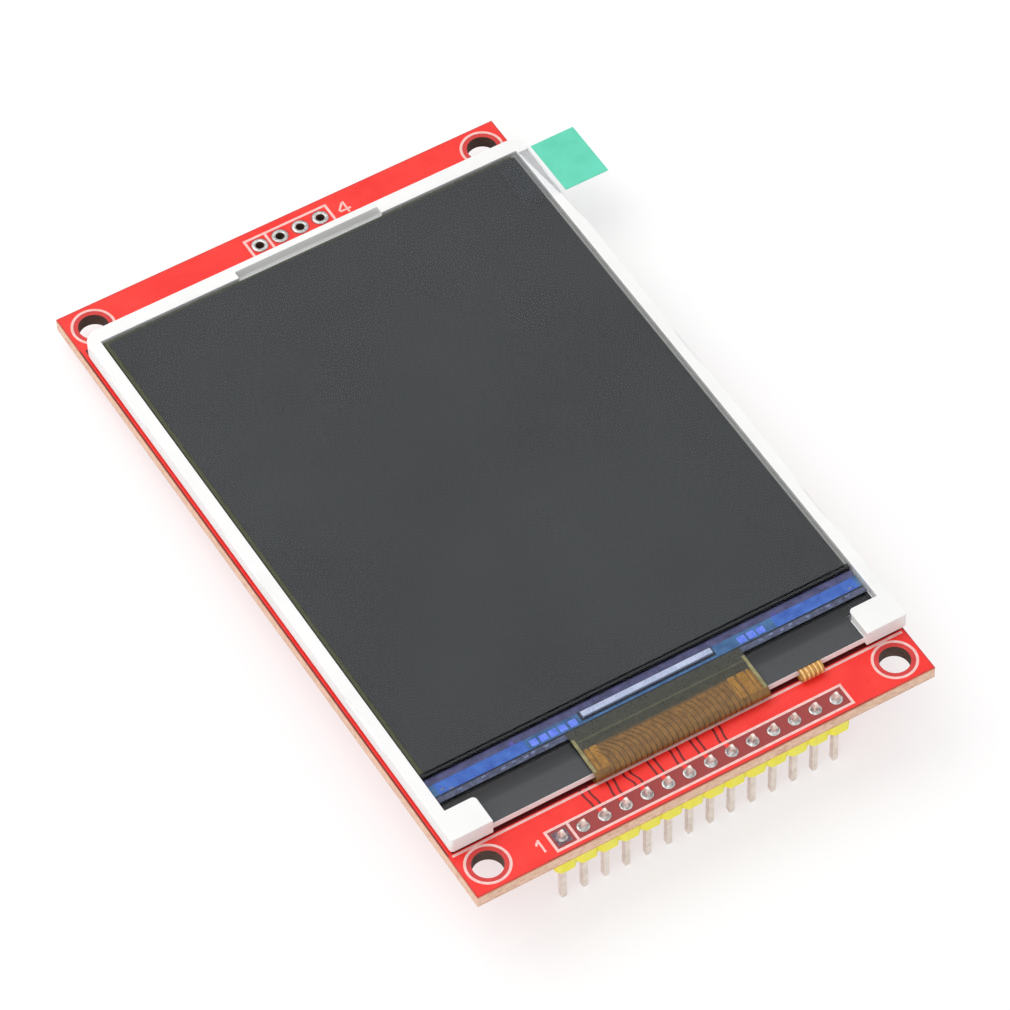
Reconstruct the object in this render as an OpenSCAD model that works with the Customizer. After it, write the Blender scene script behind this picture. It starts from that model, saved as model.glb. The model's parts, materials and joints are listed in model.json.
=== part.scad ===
// Bare colour display module: a liquid crystal panel in a moulded backlight frame, taped to
// a red circuit board with a pin header along its front edge and a card socket beneath.
// +Z is up through the screen, +X runs along the pin header and +Y points away from it.
// The origin is the centre of the four mounting holes, on the underside of the board.

/* [Circuit board] */
// Width of the board, along the pin row
board_w = 55.04; // [54.8:0.02:60]
// Length of the board, from the pin row edge to the rear edge
board_l = 89.3; // [89:0.1:96]
// Thickness of the board
board_t = 1.6; // [1:0.1:2]
// Distance of each mounting hole's centre from both edges of its corner
hole_inset = 3; // [2.7:0.05:3.2]
// Diameter of the mounting holes
hole_d = 3.4; // [2.6:0.1:3.6]

/* [Pin header] */
// Number of pins
pin_count = 14; // [4:1:14]
// Distance from pin to pin
pin_pitch = 2.54; // [2:0.01:2.7]
// Distance of the pin row from the front edge of the board
pin_inset = 1.95; // [1.6:0.05:2.4]
// Sideways shift of the row from the middle of the board
pin_shift = 0.09; // [-1:0.01:1]
// Side of the square pins
pin_t = 0.64; // [0.5:0.01:0.7]
// Height of the pin ends above the board
pin_proud = 1.06; // [0.9:0.01:2]
// Length of the pins below their plastic strip
pin_reach = 6.1; // [5:0.1:9]
// Length of the taper at both ends of a pin
pin_taper = 0.45; // [0.2:0.05:0.6]
// Side of a pin at its very end
pin_tip_t = 0.34; // [0.2:0.01:0.45]
// Height of the plastic strip
strip_h = 2.54; // [1.5:0.01:3]
// Depth of the plastic strip, across the row
strip_d = 2.5; // [1.8:0.05:2.8]
// Size of the bevels where two cells of the strip meet
strip_bevel = 0.5; // [0.2:0.05:0.7]
// Gap between the board and the strip
strip_gap = 0.3; // [0:0.05:0.6]
// Diameter of the plated holes for the pins
pin_hole_d = 1.02; // [0.96:0.01:1.2]
// Diameter of the solder around a pin on the board
solder_d = 1.7; // [1.4:0.05:1.9]
// Height of the solder on the board
solder_h = 0.72; // [0.3:0.02:0.85]
// Thickness of the solder round the corners of a pin at its top
solder_rim = 0.03; // [0.02:0.01:0.08]

/* [Card signal holes] */
// Number of free holes near the rear edge
card_hole_count = 4; // [2:1:8]
// Diameter of the free holes
card_hole_d = 1; // [0.7:0.05:1.2]
// Distance of these holes from the rear edge of the board
card_hole_inset = 2.37; // [1.5:0.01:3]
// Sideways shift of these holes from the middle of the board
card_hole_shift = 0.36; // [-2:0.02:2]

/* [Display frame] */
// Width of the moulded frame
frame_w = 55; // [54:0.1:58]
// Length of the moulded frame
frame_l = 78.15; // [76:0.05:78.4]
// Height of the moulded frame
frame_h = 2; // [1.96:0.02:2.6]
// Distance from the front edge of the board to the frame
frame_inset = 5.85; // [5.5:0.05:6]
// Sideways shift of the frame from the middle of the board
frame_shift = 0.38; // [-0.6:0.02:0.6]
// Thickness of the tape between board and frame
mount_tape_t = 0.4; // [0.3:0.02:0.8]
// Width of each strip of that tape
mount_tape_w = 5; // [2:0.5:12]
// Distance of the tape from the sides of the frame
mount_tape_inset = 1.2; // [0.4:0.1:4]
// Distance of the tape from the front and rear of the frame
mount_tape_margin = 9; // [8:0.5:20]
// Radius of the frame's rear corners
rear_corner_r = 1.8; // [0.4:0.1:2.4]
// Radius of the frame's front corners
front_corner_r = 0.4; // [0.2:0.05:1]
// Width of the side rims beside the glass
rim_w = 1.43; // [1:0.01:1.8]
// Width of the rear rim
rear_rim_w = 1.8; // [1.4:0.05:2.4]
// Height of the shelf that carries the glass, above the bottom of the frame
shelf_h = 0.85; // [0.81:0.01:0.89]
// Width of that shelf
shelf_w = 1; // [0.8:0.05:1.6]
// Width of the blocks in the two front corners
block_w = 4.98; // [3:0.02:6]
// Length of these blocks, front to rear
block_l = 3.65; // [3.2:0.05:4.2]
// Radius of the inner rear corner of each block
block_corner_r = 0.5; // [0.1:0.05:1]
// How far the wall between the blocks stands back
front_relief = 0.42; // [0.1:0.02:0.6]
// Distance from the front of the frame to its light pocket
pocket_inset = 3.05; // [2.6:0.05:3.2]
// Width of the shallow bay in the rear rim
bay_w = 17.9; // [6:0.1:30]
// Depth of that bay into the rear rim
bay_d = 0.95; // [0.3:0.05:1.1]
// Number of scalloped grips along each side
scallop_count = 3; // [1:1:3]
// Distance from scallop to scallop
scallop_pitch = 25.25; // [12:0.25:26]
// Distance of the middle scallop from the front of the frame
scallop_centre = 42.65; // [38:0.05:44]
// Length of a scallop
scallop_l = 9; // [4:0.5:11]
// Depth of a scallop into the rim
scallop_d = 0.35; // [0.15:0.05:0.6]
// Height of a scallop, down from the top of the rim
scallop_h = 0.5; // [0.2:0.05:0.9]

/* [Backlight] */
// Thickness of the reflector sheet
reflector_t = 0.1; // [0.05:0.01:0.12]
// Width of the reflector's glued margin under the frame
reflector_margin = 0.6; // [0.3:0.05:0.8]
// Thickness of the light guide
guide_t = 0.5; // [0.4:0.01:0.52]
// Thickness of the diffuser sheet
diffuser_t = 0.06; // [0.04:0.005:0.07]
// Thickness of each prism sheet
prism_t = 0.06; // [0.04:0.005:0.065]
// Number of lamps
led_count = 6; // [2:1:6]
// Distance from each end of the lamp strip to its last lamp
led_end_gap = 1.7; // [1:0.1:5]
// Width of a lamp
led_w = 3; // [2:0.1:3.6]
// Depth of a lamp, front to rear
led_d = 0.85; // [0.6:0.05:1]
// Height of a lamp
led_h = 0.6; // [0.4:0.02:0.62]
// Width of the lamp strip
lamp_strip_w = 44.4; // [42:0.2:44.6]
// Length of the lamp strip, front to rear
lamp_strip_l = 3.3; // [2.9:0.05:3.5]
// Distance from the front of the frame to the lamp strip
lamp_strip_inset = 1.75; // [1.4:0.05:2]

/* [Liquid crystal panel] */
// Thickness of the black rim tape under the glass
rim_tape_t = 0.06; // [0.04:0.01:0.1]
// Width of the rim tape over the edges of the light guide
rim_tape_lap = 0.9; // [0.4:0.05:1.5]
// Distance from the front of the frame to the glass
glass_inset = 5.15; // [4.8:0.05:5.6]
// Thickness of each of the two glass plates
glass_t = 0.4; // [0.3:0.01:0.4]
// Width of the ledge where only the lower glass remains
ledge_l = 3.35; // [2.8:0.05:4.5]
// Distance of the polarizers from the edges of the glass
polarizer_inset = 0.4; // [0.2:0.05:0.8]
// Thickness of the upper polarizer
upper_polarizer_t = 0.2; // [0.1:0.01:0.2]
// Thickness of the lower polarizer
lower_polarizer_t = 0.12; // [0.08:0.01:0.12]
// Width of the driver chip
chip_w = 15.67; // [10:0.01:19]
// Depth of the driver chip, front to rear
chip_d = 0.67; // [0.5:0.01:1]
// Thickness of the driver chip
chip_t = 0.34; // [0.2:0.01:0.4]
// Distance of the driver chip from the front edge of the glass
chip_inset = 1.45; // [1:0.05:1.7]
// Thickness of the clear protective film
film_t = 0.08; // [0.04:0.01:0.1]
// How far the film reaches past the front edge of the glass
film_reach = 1.1; // [0.2:0.05:1.2]
// Radius of the film's corners
film_corner_r = 0.5; // [0.2:0.1:2]

/* [Pull tab] */
// Width of the tab, along the side of the frame
tab_w = 7.5; // [4:0.1:12]
// How far the tab reaches past the side of the frame
tab_reach = 5.7; // [3:0.1:12]
// Distance of the tab's centre from the rear of the frame
tab_inset = 5.95; // [5:0.05:20]
// Thickness of the clear carrier under the tab
carrier_t = 0.05; // [0.03:0.01:0.1]
// Length of the carrier that is stuck to the film
carrier_lap = 3; // [1:0.1:6]
// Thickness of the coloured tab
tab_t = 0.08; // [0.04:0.01:0.15]
// Distance from the side of the frame to the coloured tab
tab_gap = 0.25; // [0:0.05:1]

/* [Flexible circuits] */
// Thickness of the flexible circuits
flex_t = 0.1; // [0.08:0.01:0.12]
// Width of the panel's flexible circuit
flex_w = 21; // [12:0.5:24]
// Length of its bond on the glass ledge
flex_bond = 0.65; // [0.4:0.05:0.9]
// Angle at which it slopes down from the glass
flex_slope = 3; // [1:0.5:4]
// Radius at which it leaves the glass
flex_ease_r = 2; // [1:0.5:4]
// How far its fold reaches out in front of the frame
flex_overhang = 0.37; // [0.2:0.01:0.5]
// Length of its soldered end under the frame, from the fold
flex_end_l = 4.8; // [3:0.1:8]
// Thickness of the solder between the circuits and the board
flex_solder_t = 0.06; // [0.03:0.01:0.1]
// Number of its solder joints
joint_count = 18; // [6:1:18]
// Width of each joint
joint_w = 0.6; // [0.3:0.02:0.8]
// Length of the joints on both circuits
joint_l = 1.8; // [1:0.1:2.4]
// Width of the backlight's tail
tail_w = 2.7; // [1.5:0.1:4]
// Sideways distance of the tail from the middle of the frame
tail_x = 15.65; // [13:0.05:18]
// How far the fold of the tail reaches out in front of the frame
tail_overhang = 0.54; // [0.4:0.01:0.6]
// Length of the tail's soldered end under the frame, from the fold
tail_end_l = 4.2; // [3:0.1:6]
// Number of solder joints on the tail
tail_joint_count = 4; // [2:1:4]
// Width of each of these joints
tail_joint_w = 0.3; // [0.2:0.02:0.4]

/* [Card socket] */
// Width of a memory card
card_w = 24; // [22:0.1:26]
// Thickness of a memory card
card_t = 2.1; // [1.8:0.05:2.4]
// Length of the socket, from its rear to its mouth
socket_l = 27.5; // [22:0.5:30]
// Distance of the socket's centre from the rear edge of the board
socket_inset = 25.3; // [22:0.1:40]
// Thickness of the socket's floor
socket_floor_t = 0.5; // [0.4:0.05:0.8]
// Thickness of the rails beside the card
socket_rail_w = 1.6; // [1:0.1:2.4]
// Thickness of the socket's rear wall
socket_wall_t = 2; // [1:0.1:3]
// Radius of the rails' upper edges
socket_edge_r = 0.4; // [0.36:0.02:0.6]
// Thickness of the sheet metal shell
shell_t = 0.2; // [0.15:0.01:0.3]
// Inside radius of the shell's folds
shell_fold_r = 0.3; // [0.2:0.02:0.34]
// Length of the shell's solder feet
shell_foot_l = 1.6; // [1:0.1:3]
// Width of these feet
shell_foot_w = 1.2; // [0.8:0.1:2]
// Length of the sprung tongues in the shell's lid
tongue_l = 8; // [4:0.5:10]
// Width of a tongue
tongue_w = 2; // [1:0.1:3]
// Width of the slot round a tongue
tongue_gap = 0.5; // [0.3:0.05:0.8]
// Number of card contacts
contact_count = 9; // [4:1:9]
// Distance from contact to contact
contact_pitch = 2.5; // [1.6:0.05:2.5]
// Width of a contact
contact_w = 0.8; // [0.5:0.05:1]
// Thickness of a contact
contact_t = 0.15; // [0.1:0.01:0.2]
// Length of a contact's solder foot
contact_foot_l = 1.2; // [0.6:0.1:2]
// Radius of the bends beside the foot
contact_bend_r = 0.3; // [0.2:0.02:0.4]
// Length of the sprung beam inside the slot
contact_beam_l = 5; // [3:0.5:7]
// Radius of the bow at the end of the beam
contact_bow_r = 1; // [0.6:0.1:1.4]
// Length of the straight tip after the bow
contact_tip_l = 0.3; // [0.2:0.05:0.6]

/* [Small parts under the board] */
// Number of chip resistors
resistor_count = 6; // [1:1:6]
// Length of a chip resistor
resistor_l = 1.6; // [1:0.1:2]
// Width of a chip resistor
resistor_w = 0.8; // [0.5:0.05:1.25]
// Height of a chip resistor
resistor_h = 0.45; // [0.3:0.05:0.6]
// Number of chip capacitors
capacitor_count = 4; // [1:1:4]
// Length of a chip capacitor
capacitor_l = 2; // [1.6:0.1:2.4]
// Width of a chip capacitor
capacitor_w = 1.25; // [0.8:0.05:1.6]
// Height of a chip capacitor
capacitor_h = 0.85; // [0.5:0.05:1.25]
// Share of a chip's length that each metal end covers
chip_end_share = 0.18; // [0.1:0.01:0.25]
// How far the metal ends stand above the ceramic
chip_end_step = 0.03; // [0.01:0.01:0.08]
// Distance from chip to chip along a row
chip_row_pitch = 3.2; // [2.4:0.1:4]
// Distance of the chip rows behind the pin row
chip_row_gap = 8; // [5:0.5:12]
// Sideways place of the middle of the resistor row
resistor_row_x = -14; // [-16:0.5:-12]
// Sideways place of the middle of the capacitor row
capacitor_row_x = 12; // [10:0.5:18]
// Distance of the transistors behind the chip rows
sot_gap = 5; // [3.5:0.5:12]
// Length of a transistor's moulded body
sot_l = 2.9; // [2.6:0.1:3.2]
// Width of this body
sot_w = 1.3; // [1.1:0.05:1.6]
// Height of this body
sot_h = 1; // [0.8:0.05:1.2]
// Gap between the board and that body
sot_foot = 0.1; // [0:0.02:0.15]
// How far its sides slope in above and below the legs
sot_draft = 0.1; // [0.05:0.01:0.15]
// Distance of the paired legs from the middle
sot_leg_x = 0.95; // [0.8:0.05:1]
// Length of the foot of a leg
sot_foot_l = 0.35; // [0.2:0.05:0.6]
// Radius of the bends in a leg
sot_bend_r = 0.15; // [0.1:0.01:0.2]
// Thickness of a transistor's legs
sot_leg_t = 0.12; // [0.1:0.01:0.16]
// Width of a transistor's legs
sot_leg_w = 0.4; // [0.3:0.02:0.5]

/* [Hidden] */
$fn = 96;
// Extra length of every cut past the face it opens
cut = 0.2;
// Clearance beside parts that are laid into the frame
fit = 0.1;
// Clearance beside the glass
glass_fit = 0.22;
// Largest angle between two points of a bend in a flexible circuit, and in bent metal
flex_arc = 5;
metal_arc = 18;

front_y = -board_l / 2;
rear_y = board_l / 2;
right_x = board_w / 2;
hole_x = board_w / 2 - hole_inset;
hole_y = board_l / 2 - hole_inset;

pin_y = front_y + pin_inset;
strip_top_z = -strip_gap;
strip_z = strip_top_z - strip_h;
pin_z = strip_z - pin_reach;
pin_top_z = board_t + pin_proud;
chip_row_y = pin_y + chip_row_gap;

frame_y = front_y + frame_inset;
frame_z = board_t + mount_tape_t;
frame_top_z = frame_z + frame_h;
frame_rear_y = frame_y + frame_l;
shelf_z = frame_z + shelf_h;
wall_y = frame_y + front_relief;
block_rear_y = frame_y + block_l;
recess_w = frame_w - 2 * rim_w;
recess_rear_y = frame_rear_y - rear_rim_w;
pocket_w = recess_w - 2 * shelf_w;
pocket_y = frame_y + pocket_inset;
pocket_rear_y = recess_rear_y - shelf_w;
between_blocks = frame_w - 2 * block_w;
scallop_r = (pow(scallop_l / 2, 2) + pow(scallop_d, 2)) / (2 * scallop_d);

guide_z = frame_z + reflector_t;
diffuser_z = guide_z + guide_t;
lower_prism_z = diffuser_z + diffuser_t;
upper_prism_z = lower_prism_z + prism_t;
lamp_strip_y = frame_y + lamp_strip_inset;
lamp_strip_z = shelf_z - flex_t;
sheet_y = lamp_strip_y + lamp_strip_l + fit;
led_y = pocket_y + fit;
led_pitch = (lamp_strip_w - 2 * led_end_gap - led_w) / (led_count - 1);
guide_y = led_y + led_d + fit;

window_w = pocket_w - 2 * rim_tape_lap;
glass_z = shelf_z + rim_tape_t;
glass_w = recess_w - 2 * glass_fit;
glass_y = frame_y + glass_inset;
glass_rear_y = recess_rear_y - glass_fit;
window_y = glass_y + ledge_l / 3;
window_rear_y = pocket_rear_y - rim_tape_lap;
ledge_z = glass_z + glass_t;
filter_y = glass_y + ledge_l;
polarizer_z = ledge_z + glass_t;
film_z = polarizer_z + upper_polarizer_t;
film_y = glass_y - film_reach;
tab_y = frame_rear_y - tab_inset;
carrier_z = max(frame_top_z, film_z + film_t);
frame_right_x = frame_shift + frame_w / 2;

joint_pitch = flex_w / (joint_count + 1);
tail_joint_pitch = tail_w / (tail_joint_count + 0.5);

card_fit = 0.1;
slot_w = card_w + 4 * card_fit;
slot_h = card_t + card_fit;
base_w = slot_w + 2 * socket_rail_w;
base_h = socket_floor_t + slot_h;
shell_w = base_w + 2 * shell_t;
socket_y = rear_y - socket_inset;
rise_angle = 70;
lift_angle = 12;
bow_angle = 35;
sot_leg_angle = 80;
sot_waist_z = sot_foot + sot_h / 2;

// Name of one piece of a repeated kind, such as led_03
function numbered(kind, i) = str(kind, "_", i < 10 ? "0" : "", i);

// Place of piece i of a row of n that is centred on zero
function along(i, n, pitch) = (i - (n + 1) / 2) * pitch;

// Slanted length of a bent leg that drops this far between two equal bends
function leg_run(drop, r, angle) = (drop - 2 * r * (1 - cos(angle))) / sin(angle);

// The four corners of a plate are cut round, each pair with its own radius
module rounded_plate(w, l, front_r, rear_r) {
    difference() {
        translate([-w / 2, 0]) square([w, l]);
        for (side = [-1, 1]) {
            translate([side * w / 2, 0]) corner_cut(front_r, -side, 1);
            translate([side * w / 2, l]) corner_cut(rear_r, -side, -1);
        }
    }
}

// What is left outside a quarter circle, drawn inwards from a corner
module corner_cut(r, x_side, y_side) {
    scale([x_side, y_side]) difference() {
        translate([-cut, -cut]) square(r + cut);
        translate([r, r]) circle(r);
    }
}

// A plate centred on the frame's middle line, given by its width, its y limits and its z
module frame_plate(w, y0, y1, z, t, front_r = 0, rear_r = 0) {
    translate([frame_shift, y0, z]) linear_extrude(t) {
        if (front_r > 0) {
            rounded_plate(w, y1 - y0, front_r, rear_r);
        } else {
            translate([-w / 2, 0]) square([w, y1 - y0]);
        }
    }
}

// Unit vector to the left of a heading
function left_of(heading) = [-sin(heading), cos(heading)];

// One side of a bent strip that starts along +X, at this offset from its middle line. A step
// is [length, 0] for a straight run or [radius, angle] for a bend, positive angles upwards.
function strip_side(steps, offset, arc, i = 0, at = [0, 0], heading = 0) =
    i == len(steps) ? [at + offset * left_of(heading)] :
    let (size = steps[i][0], turn = steps[i][1])
    turn == 0 ?
        concat([at + offset * left_of(heading)],
            strip_side(steps, offset, arc, i + 1,
                at + size * [cos(heading), sin(heading)], heading)) :
        let (r = sign(turn) * size, centre = at + r * left_of(heading),
            parts = ceil(abs(turn) / arc))
        concat([for (k = [0 : parts - 1])
                centre + (offset - r) * left_of(heading + turn * k / parts)],
            strip_side(steps, offset, arc, i + 1,
                centre - r * left_of(heading + turn), heading + turn));

// The same list of points from its end to its start
function backwards(points) = [for (k = [len(points) - 1 : -1 : 0]) points[k]];

// A bent strip of a given width, its profile standing upright in the XZ plane
module bent_strip(steps, t, w, arc) {
    rotate([90, 0, 0]) linear_extrude(w, center = true) polygon(concat(
        strip_side(steps, t / 2, arc), backwards(strip_side(steps, -t / 2, arc))));
}

// Everything under the board is drawn upright and hung from its underside
module under_board(x, y, turn = 0) {
    translate([x, y, 0]) mirror([0, 0, 1]) rotate(turn) children();
}

module board() {
    color("red") difference() {
        translate([-board_w / 2, front_y, 0]) cube([board_w, board_l, board_t]);
        for (x = [-hole_x, hole_x], y = [-hole_y, hole_y]) drill(x, y, hole_d);
        for (i = [1 : pin_count])
            drill(pin_shift + along(i, pin_count, pin_pitch), pin_y, pin_hole_d);
        for (i = [1 : card_hole_count])
            drill(card_hole_shift + along(i, card_hole_count, pin_pitch),
                rear_y - card_hole_inset, card_hole_d);
    }
}

// A hole right through the board
module drill(x, y, d) {
    translate([x, y, -cut]) cylinder(d = d, h = board_t + 2 * cut);
}

// Each pin has a bevelled cell of its own in the plastic strip
module header_strip() {
    color("yellow") translate([pin_shift, pin_y, strip_z]) linear_extrude(strip_h)
        for (i = [1 : pin_count]) translate([along(i, pin_count, pin_pitch), 0])
            difference() {
                strip_cell();
                square(pin_t, center = true);
            }
}

module strip_cell() {
    x = pin_pitch / 2;
    y = strip_d / 2;
    polygon([[-x, strip_bevel - y], [strip_bevel - x, -y], [x - strip_bevel, -y],
        [x, strip_bevel - y], [x, y - strip_bevel], [x - strip_bevel, y],
        [strip_bevel - x, y], [-x, y - strip_bevel]]);
}

// A square pin, tapered at both ends by crossing its side view and its front view
module header_pin(i) {
    color("lightgray")
        translate([pin_shift + along(i, pin_count, pin_pitch), pin_y, 0]) intersection() {
            pin_view();
            rotate(90) pin_view();
        }
}

module pin_view() {
    side = pin_t / 2;
    tip = pin_tip_t / 2;
    rotate([90, 0, 0]) linear_extrude(pin_t, center = true) polygon([
        [-tip, pin_z], [tip, pin_z], [side, pin_z + pin_taper], [side, pin_top_z - pin_taper],
        [tip, pin_top_z], [-tip, pin_top_z], [-side, pin_top_z - pin_taper],
        [-side, pin_z + pin_taper]]);
}

// The solder fills each plated hole and rises up its pin in a hollow cone
module header_solder() {
    neck_r = pin_t / sqrt(2) + solder_rim;
    foot_r = solder_d / 2;
    color("silver") for (i = [1 : pin_count])
        translate([pin_shift + along(i, pin_count, pin_pitch), pin_y, 0]) difference() {
            union() {
                cylinder(d = pin_hole_d, h = board_t);
                translate([0, 0, board_t]) rotate_extrude() polygon(concat([[0, 0]],
                    [for (a = [0 : 15 : 90])
                        [foot_r - (foot_r - neck_r) * sin(a), solder_h * (1 - cos(a))]],
                    [[0, solder_h]]));
            }
            translate([-pin_t / 2, -pin_t / 2, -cut])
                cube([pin_t, pin_t, board_t + solder_h + 2 * cut]);
        }
}

// The moulded frame: a rimmed tray whose stepped inside seats the sheets and the glass,
// open at the front between two corner blocks where the flexible circuits leave it
module lcd_frame() {
    color("white") difference() {
        frame_plate(frame_w, frame_y, frame_rear_y, frame_z, frame_h,
            front_corner_r, rear_corner_r);
        frame_plate(recess_w, block_rear_y, recess_rear_y, shelf_z, frame_h);
        for (side = [-1, 1])
            translate([frame_shift + side * between_blocks / 2, block_rear_y, shelf_z])
                linear_extrude(frame_h) corner_cut(block_corner_r, side, -1);
        frame_plate(bay_w, recess_rear_y - cut, recess_rear_y + bay_d, shelf_z, frame_h);
        frame_plate(between_blocks, frame_y - cut, block_rear_y + cut, shelf_z, frame_h);
        frame_plate(between_blocks, frame_y - cut, wall_y, frame_z - cut, frame_h);
        frame_plate(pocket_w, pocket_y, pocket_rear_y, frame_z - cut, frame_h);
        frame_plate(pocket_w + 2 * reflector_margin, pocket_y - reflector_margin,
            pocket_rear_y + reflector_margin, frame_z - cut, cut + reflector_t);
        frame_plate(lamp_strip_w + 2 * fit, lamp_strip_y - fit, pocket_y + cut,
            lamp_strip_z, flex_t + cut);
        translate([tail_x, 0, 0]) frame_plate(tail_w + 2 * fit, wall_y - cut,
            lamp_strip_y, lamp_strip_z, flex_t + cut);
        for (i = [1 : scallop_count], side = [-1, 1]) scallop(i, side);
    }
}

// A shallow round grip cut into the top edge of a side rim
module scallop(i, side) {
    translate([frame_shift + side * (frame_w / 2 + scallop_r - scallop_d),
        frame_y + scallop_centre + along(i, scallop_count, scallop_pitch),
        frame_top_z - scallop_h]) cylinder(r = scallop_r, h = scallop_h + cut, $fn = 360);
}

module reflector_sheet() {
    color("snow") frame_plate(pocket_w + 2 * reflector_margin - 2 * fit,
        pocket_y - reflector_margin + fit, pocket_rear_y + reflector_margin - fit,
        frame_z, reflector_t);
}

module light_guide() {
    color("azure") frame_plate(pocket_w - 2 * fit, guide_y, pocket_rear_y - fit,
        guide_z, guide_t);
}

// Diffuser and prism sheets share one outline and differ in height and thickness
module optical_sheet(z, t) {
    frame_plate(pocket_w - 2 * fit, sheet_y, pocket_rear_y - fit, z, t);
}

module diffuser_sheet() {
    color("whitesmoke") optical_sheet(diffuser_z, diffuser_t);
}

module prism_sheet_lower() {
    color("lightsteelblue") optical_sheet(lower_prism_z, prism_t);
}

module prism_sheet_upper() {
    color("lightsteelblue") optical_sheet(upper_prism_z, prism_t);
}

// Lamps hang from the strip, facing the edge of the light guide
module led(i) {
    color("lightyellow")
        translate([frame_shift + along(i, led_count, led_pitch) - led_w / 2, led_y,
            lamp_strip_z - led_h]) cube([led_w, led_d, led_h]);
}

// A flexible circuit that slopes down from z0, folds under the frame and ends on the board.
// The run before the fold and its radius follow from how far the fold reaches out.
module folded_flex(x, y0, z0, w, overhang, slope, bond, end_l) {
    r0 = flex_ease_r;
    drop = z0 - board_t - flex_solder_t - (r0 - flex_t / 2) * (1 - cos(slope)) - flex_t;
    reach = y0 - (frame_y - overhang) - bond - (r0 - flex_t / 2) * sin(slope) - flex_t;
    share = (1 - sin(slope)) / (1 + cos(slope));
    run = (reach - share * drop) / (cos(slope) - share * sin(slope));
    fold_r = (drop - run * sin(slope)) / (1 + cos(slope)) + flex_t / 2;
    translate([x, y0, z0 + flex_t / 2]) rotate(-90)
        bent_strip(concat(slope == 0 ? [[bond, 0]] : [[bond, 0], [r0, -slope]],
            [[run, 0], [fold_r, slope - 180], [end_l, 0]]), flex_t, w, flex_arc);
}

module backlight_flex() {
    color("goldenrod") {
        frame_plate(lamp_strip_w, lamp_strip_y, lamp_strip_y + lamp_strip_l, lamp_strip_z,
            flex_t);
        folded_flex(frame_shift + tail_x, lamp_strip_y + cut, lamp_strip_z, tail_w,
            tail_overhang, 0, cut, tail_end_l);
    }
}

module panel_flex() {
    color("saddlebrown") folded_flex(frame_shift, glass_y + flex_bond, ledge_z, flex_w,
        flex_overhang, flex_slope, flex_bond, flex_end_l);
}

// Solder joints between the folded ends of both flexible circuits and the board
module flex_solder() {
    color("silver") {
        joint_row(frame_shift, flex_overhang, flex_end_l, joint_count, joint_pitch, joint_w);
        joint_row(frame_shift + tail_x, tail_overhang, tail_end_l, tail_joint_count,
            tail_joint_pitch, tail_joint_w);
    }
}

module joint_row(x, overhang, end_l, count, pitch, w) {
    y = frame_y - overhang + end_l - joint_l;
    for (i = [1 : count]) translate([x + along(i, count, pitch) - w / 2, y, board_t])
        cube([w, joint_l, flex_solder_t]);
}

// Black tape that masks the light at the edges and seats the glass on the frame
module rim_tape() {
    color("dimgray") translate([0, 0, shelf_z]) linear_extrude(rim_tape_t) difference() {
        union() {
            tape_piece(recess_w - 2 * fit, block_rear_y + fit, recess_rear_y - fit);
            tape_piece(between_blocks - 2 * fit, wall_y + fit / 2, block_rear_y + 2 * fit);
        }
        tape_piece(window_w, window_y, window_rear_y);
    }
}

module tape_piece(w, y0, y1) {
    translate([frame_shift - w / 2, y0]) square([w, y1 - y0]);
}

module lower_polarizer() {
    color("slategray") frame_plate(window_w - 2 * fit, window_y + fit, window_rear_y - fit,
        glass_z - lower_polarizer_t, lower_polarizer_t);
}

module array_glass() {
    color("midnightblue") frame_plate(glass_w, glass_y, glass_rear_y, glass_z, glass_t);
}

module filter_glass() {
    color("lightslategray") frame_plate(glass_w, filter_y, glass_rear_y, ledge_z, glass_t);
}

module upper_polarizer() {
    color([0.29, 0.3, 0.31]) frame_plate(glass_w - 2 * polarizer_inset,
        filter_y + polarizer_inset, glass_rear_y - polarizer_inset, polarizer_z,
        upper_polarizer_t);
}

module driver_chip() {
    color("lightsteelblue") frame_plate(chip_w, glass_y + chip_inset,
        glass_y + chip_inset + chip_d, ledge_z, chip_t);
}

// Tape strips between frame and board, one along each side
module mounting_tape(side) {
    x = frame_shift + side * (frame_w / 2 - mount_tape_inset - mount_tape_w / 2);
    color("gray") translate([x - mount_tape_w / 2, frame_y + mount_tape_margin, board_t])
        cube([mount_tape_w, frame_l - 2 * mount_tape_margin, mount_tape_t]);
}

module protective_film() {
    color("lightcyan", 0.3) frame_plate(glass_w, film_y, glass_rear_y, film_z, film_t,
        film_corner_r, film_corner_r);
}

// Clear carrier that is stuck to the film and holds the coloured pull tab
module tab_carrier() {
    length = rim_w + glass_fit + carrier_lap + tab_reach;
    color("lightcyan", 0.4) translate([frame_right_x + tab_reach - length,
        tab_y - tab_w / 2, carrier_z]) cube([length, tab_w, carrier_t]);
}

module pull_tab() {
    color("mediumaquamarine") translate([frame_right_x + tab_gap, tab_y - tab_w / 2,
        carrier_z + carrier_t]) cube([tab_reach - tab_gap, tab_w, tab_t]);
}

// The socket is drawn with its mouth at x = 0 and its inside towards -X
module place_socket() {
    under_board(right_x, socket_y) children();
}

module card_socket_base() {
    color("dimgray") place_socket() difference() {
        translate([-socket_l, 0, 0]) rotate([90, 0, 90]) linear_extrude(socket_l)
            rounded_plate(base_w, base_h, fit, socket_edge_r);
        translate([socket_wall_t - socket_l, -slot_w / 2, socket_floor_t])
            cube([socket_l, slot_w, slot_h + cut]);
        contact_slots();
    }
}

// One slot through the rear wall for each contact
module contact_slots() {
    w = contact_w + fit;
    for (i = [1 : contact_count])
        translate([-socket_l - cut, along(i, contact_count, contact_pitch) - w / 2,
            socket_floor_t]) cube([socket_wall_t + 2 * cut, w, contact_t + fit / 2]);
}

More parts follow.
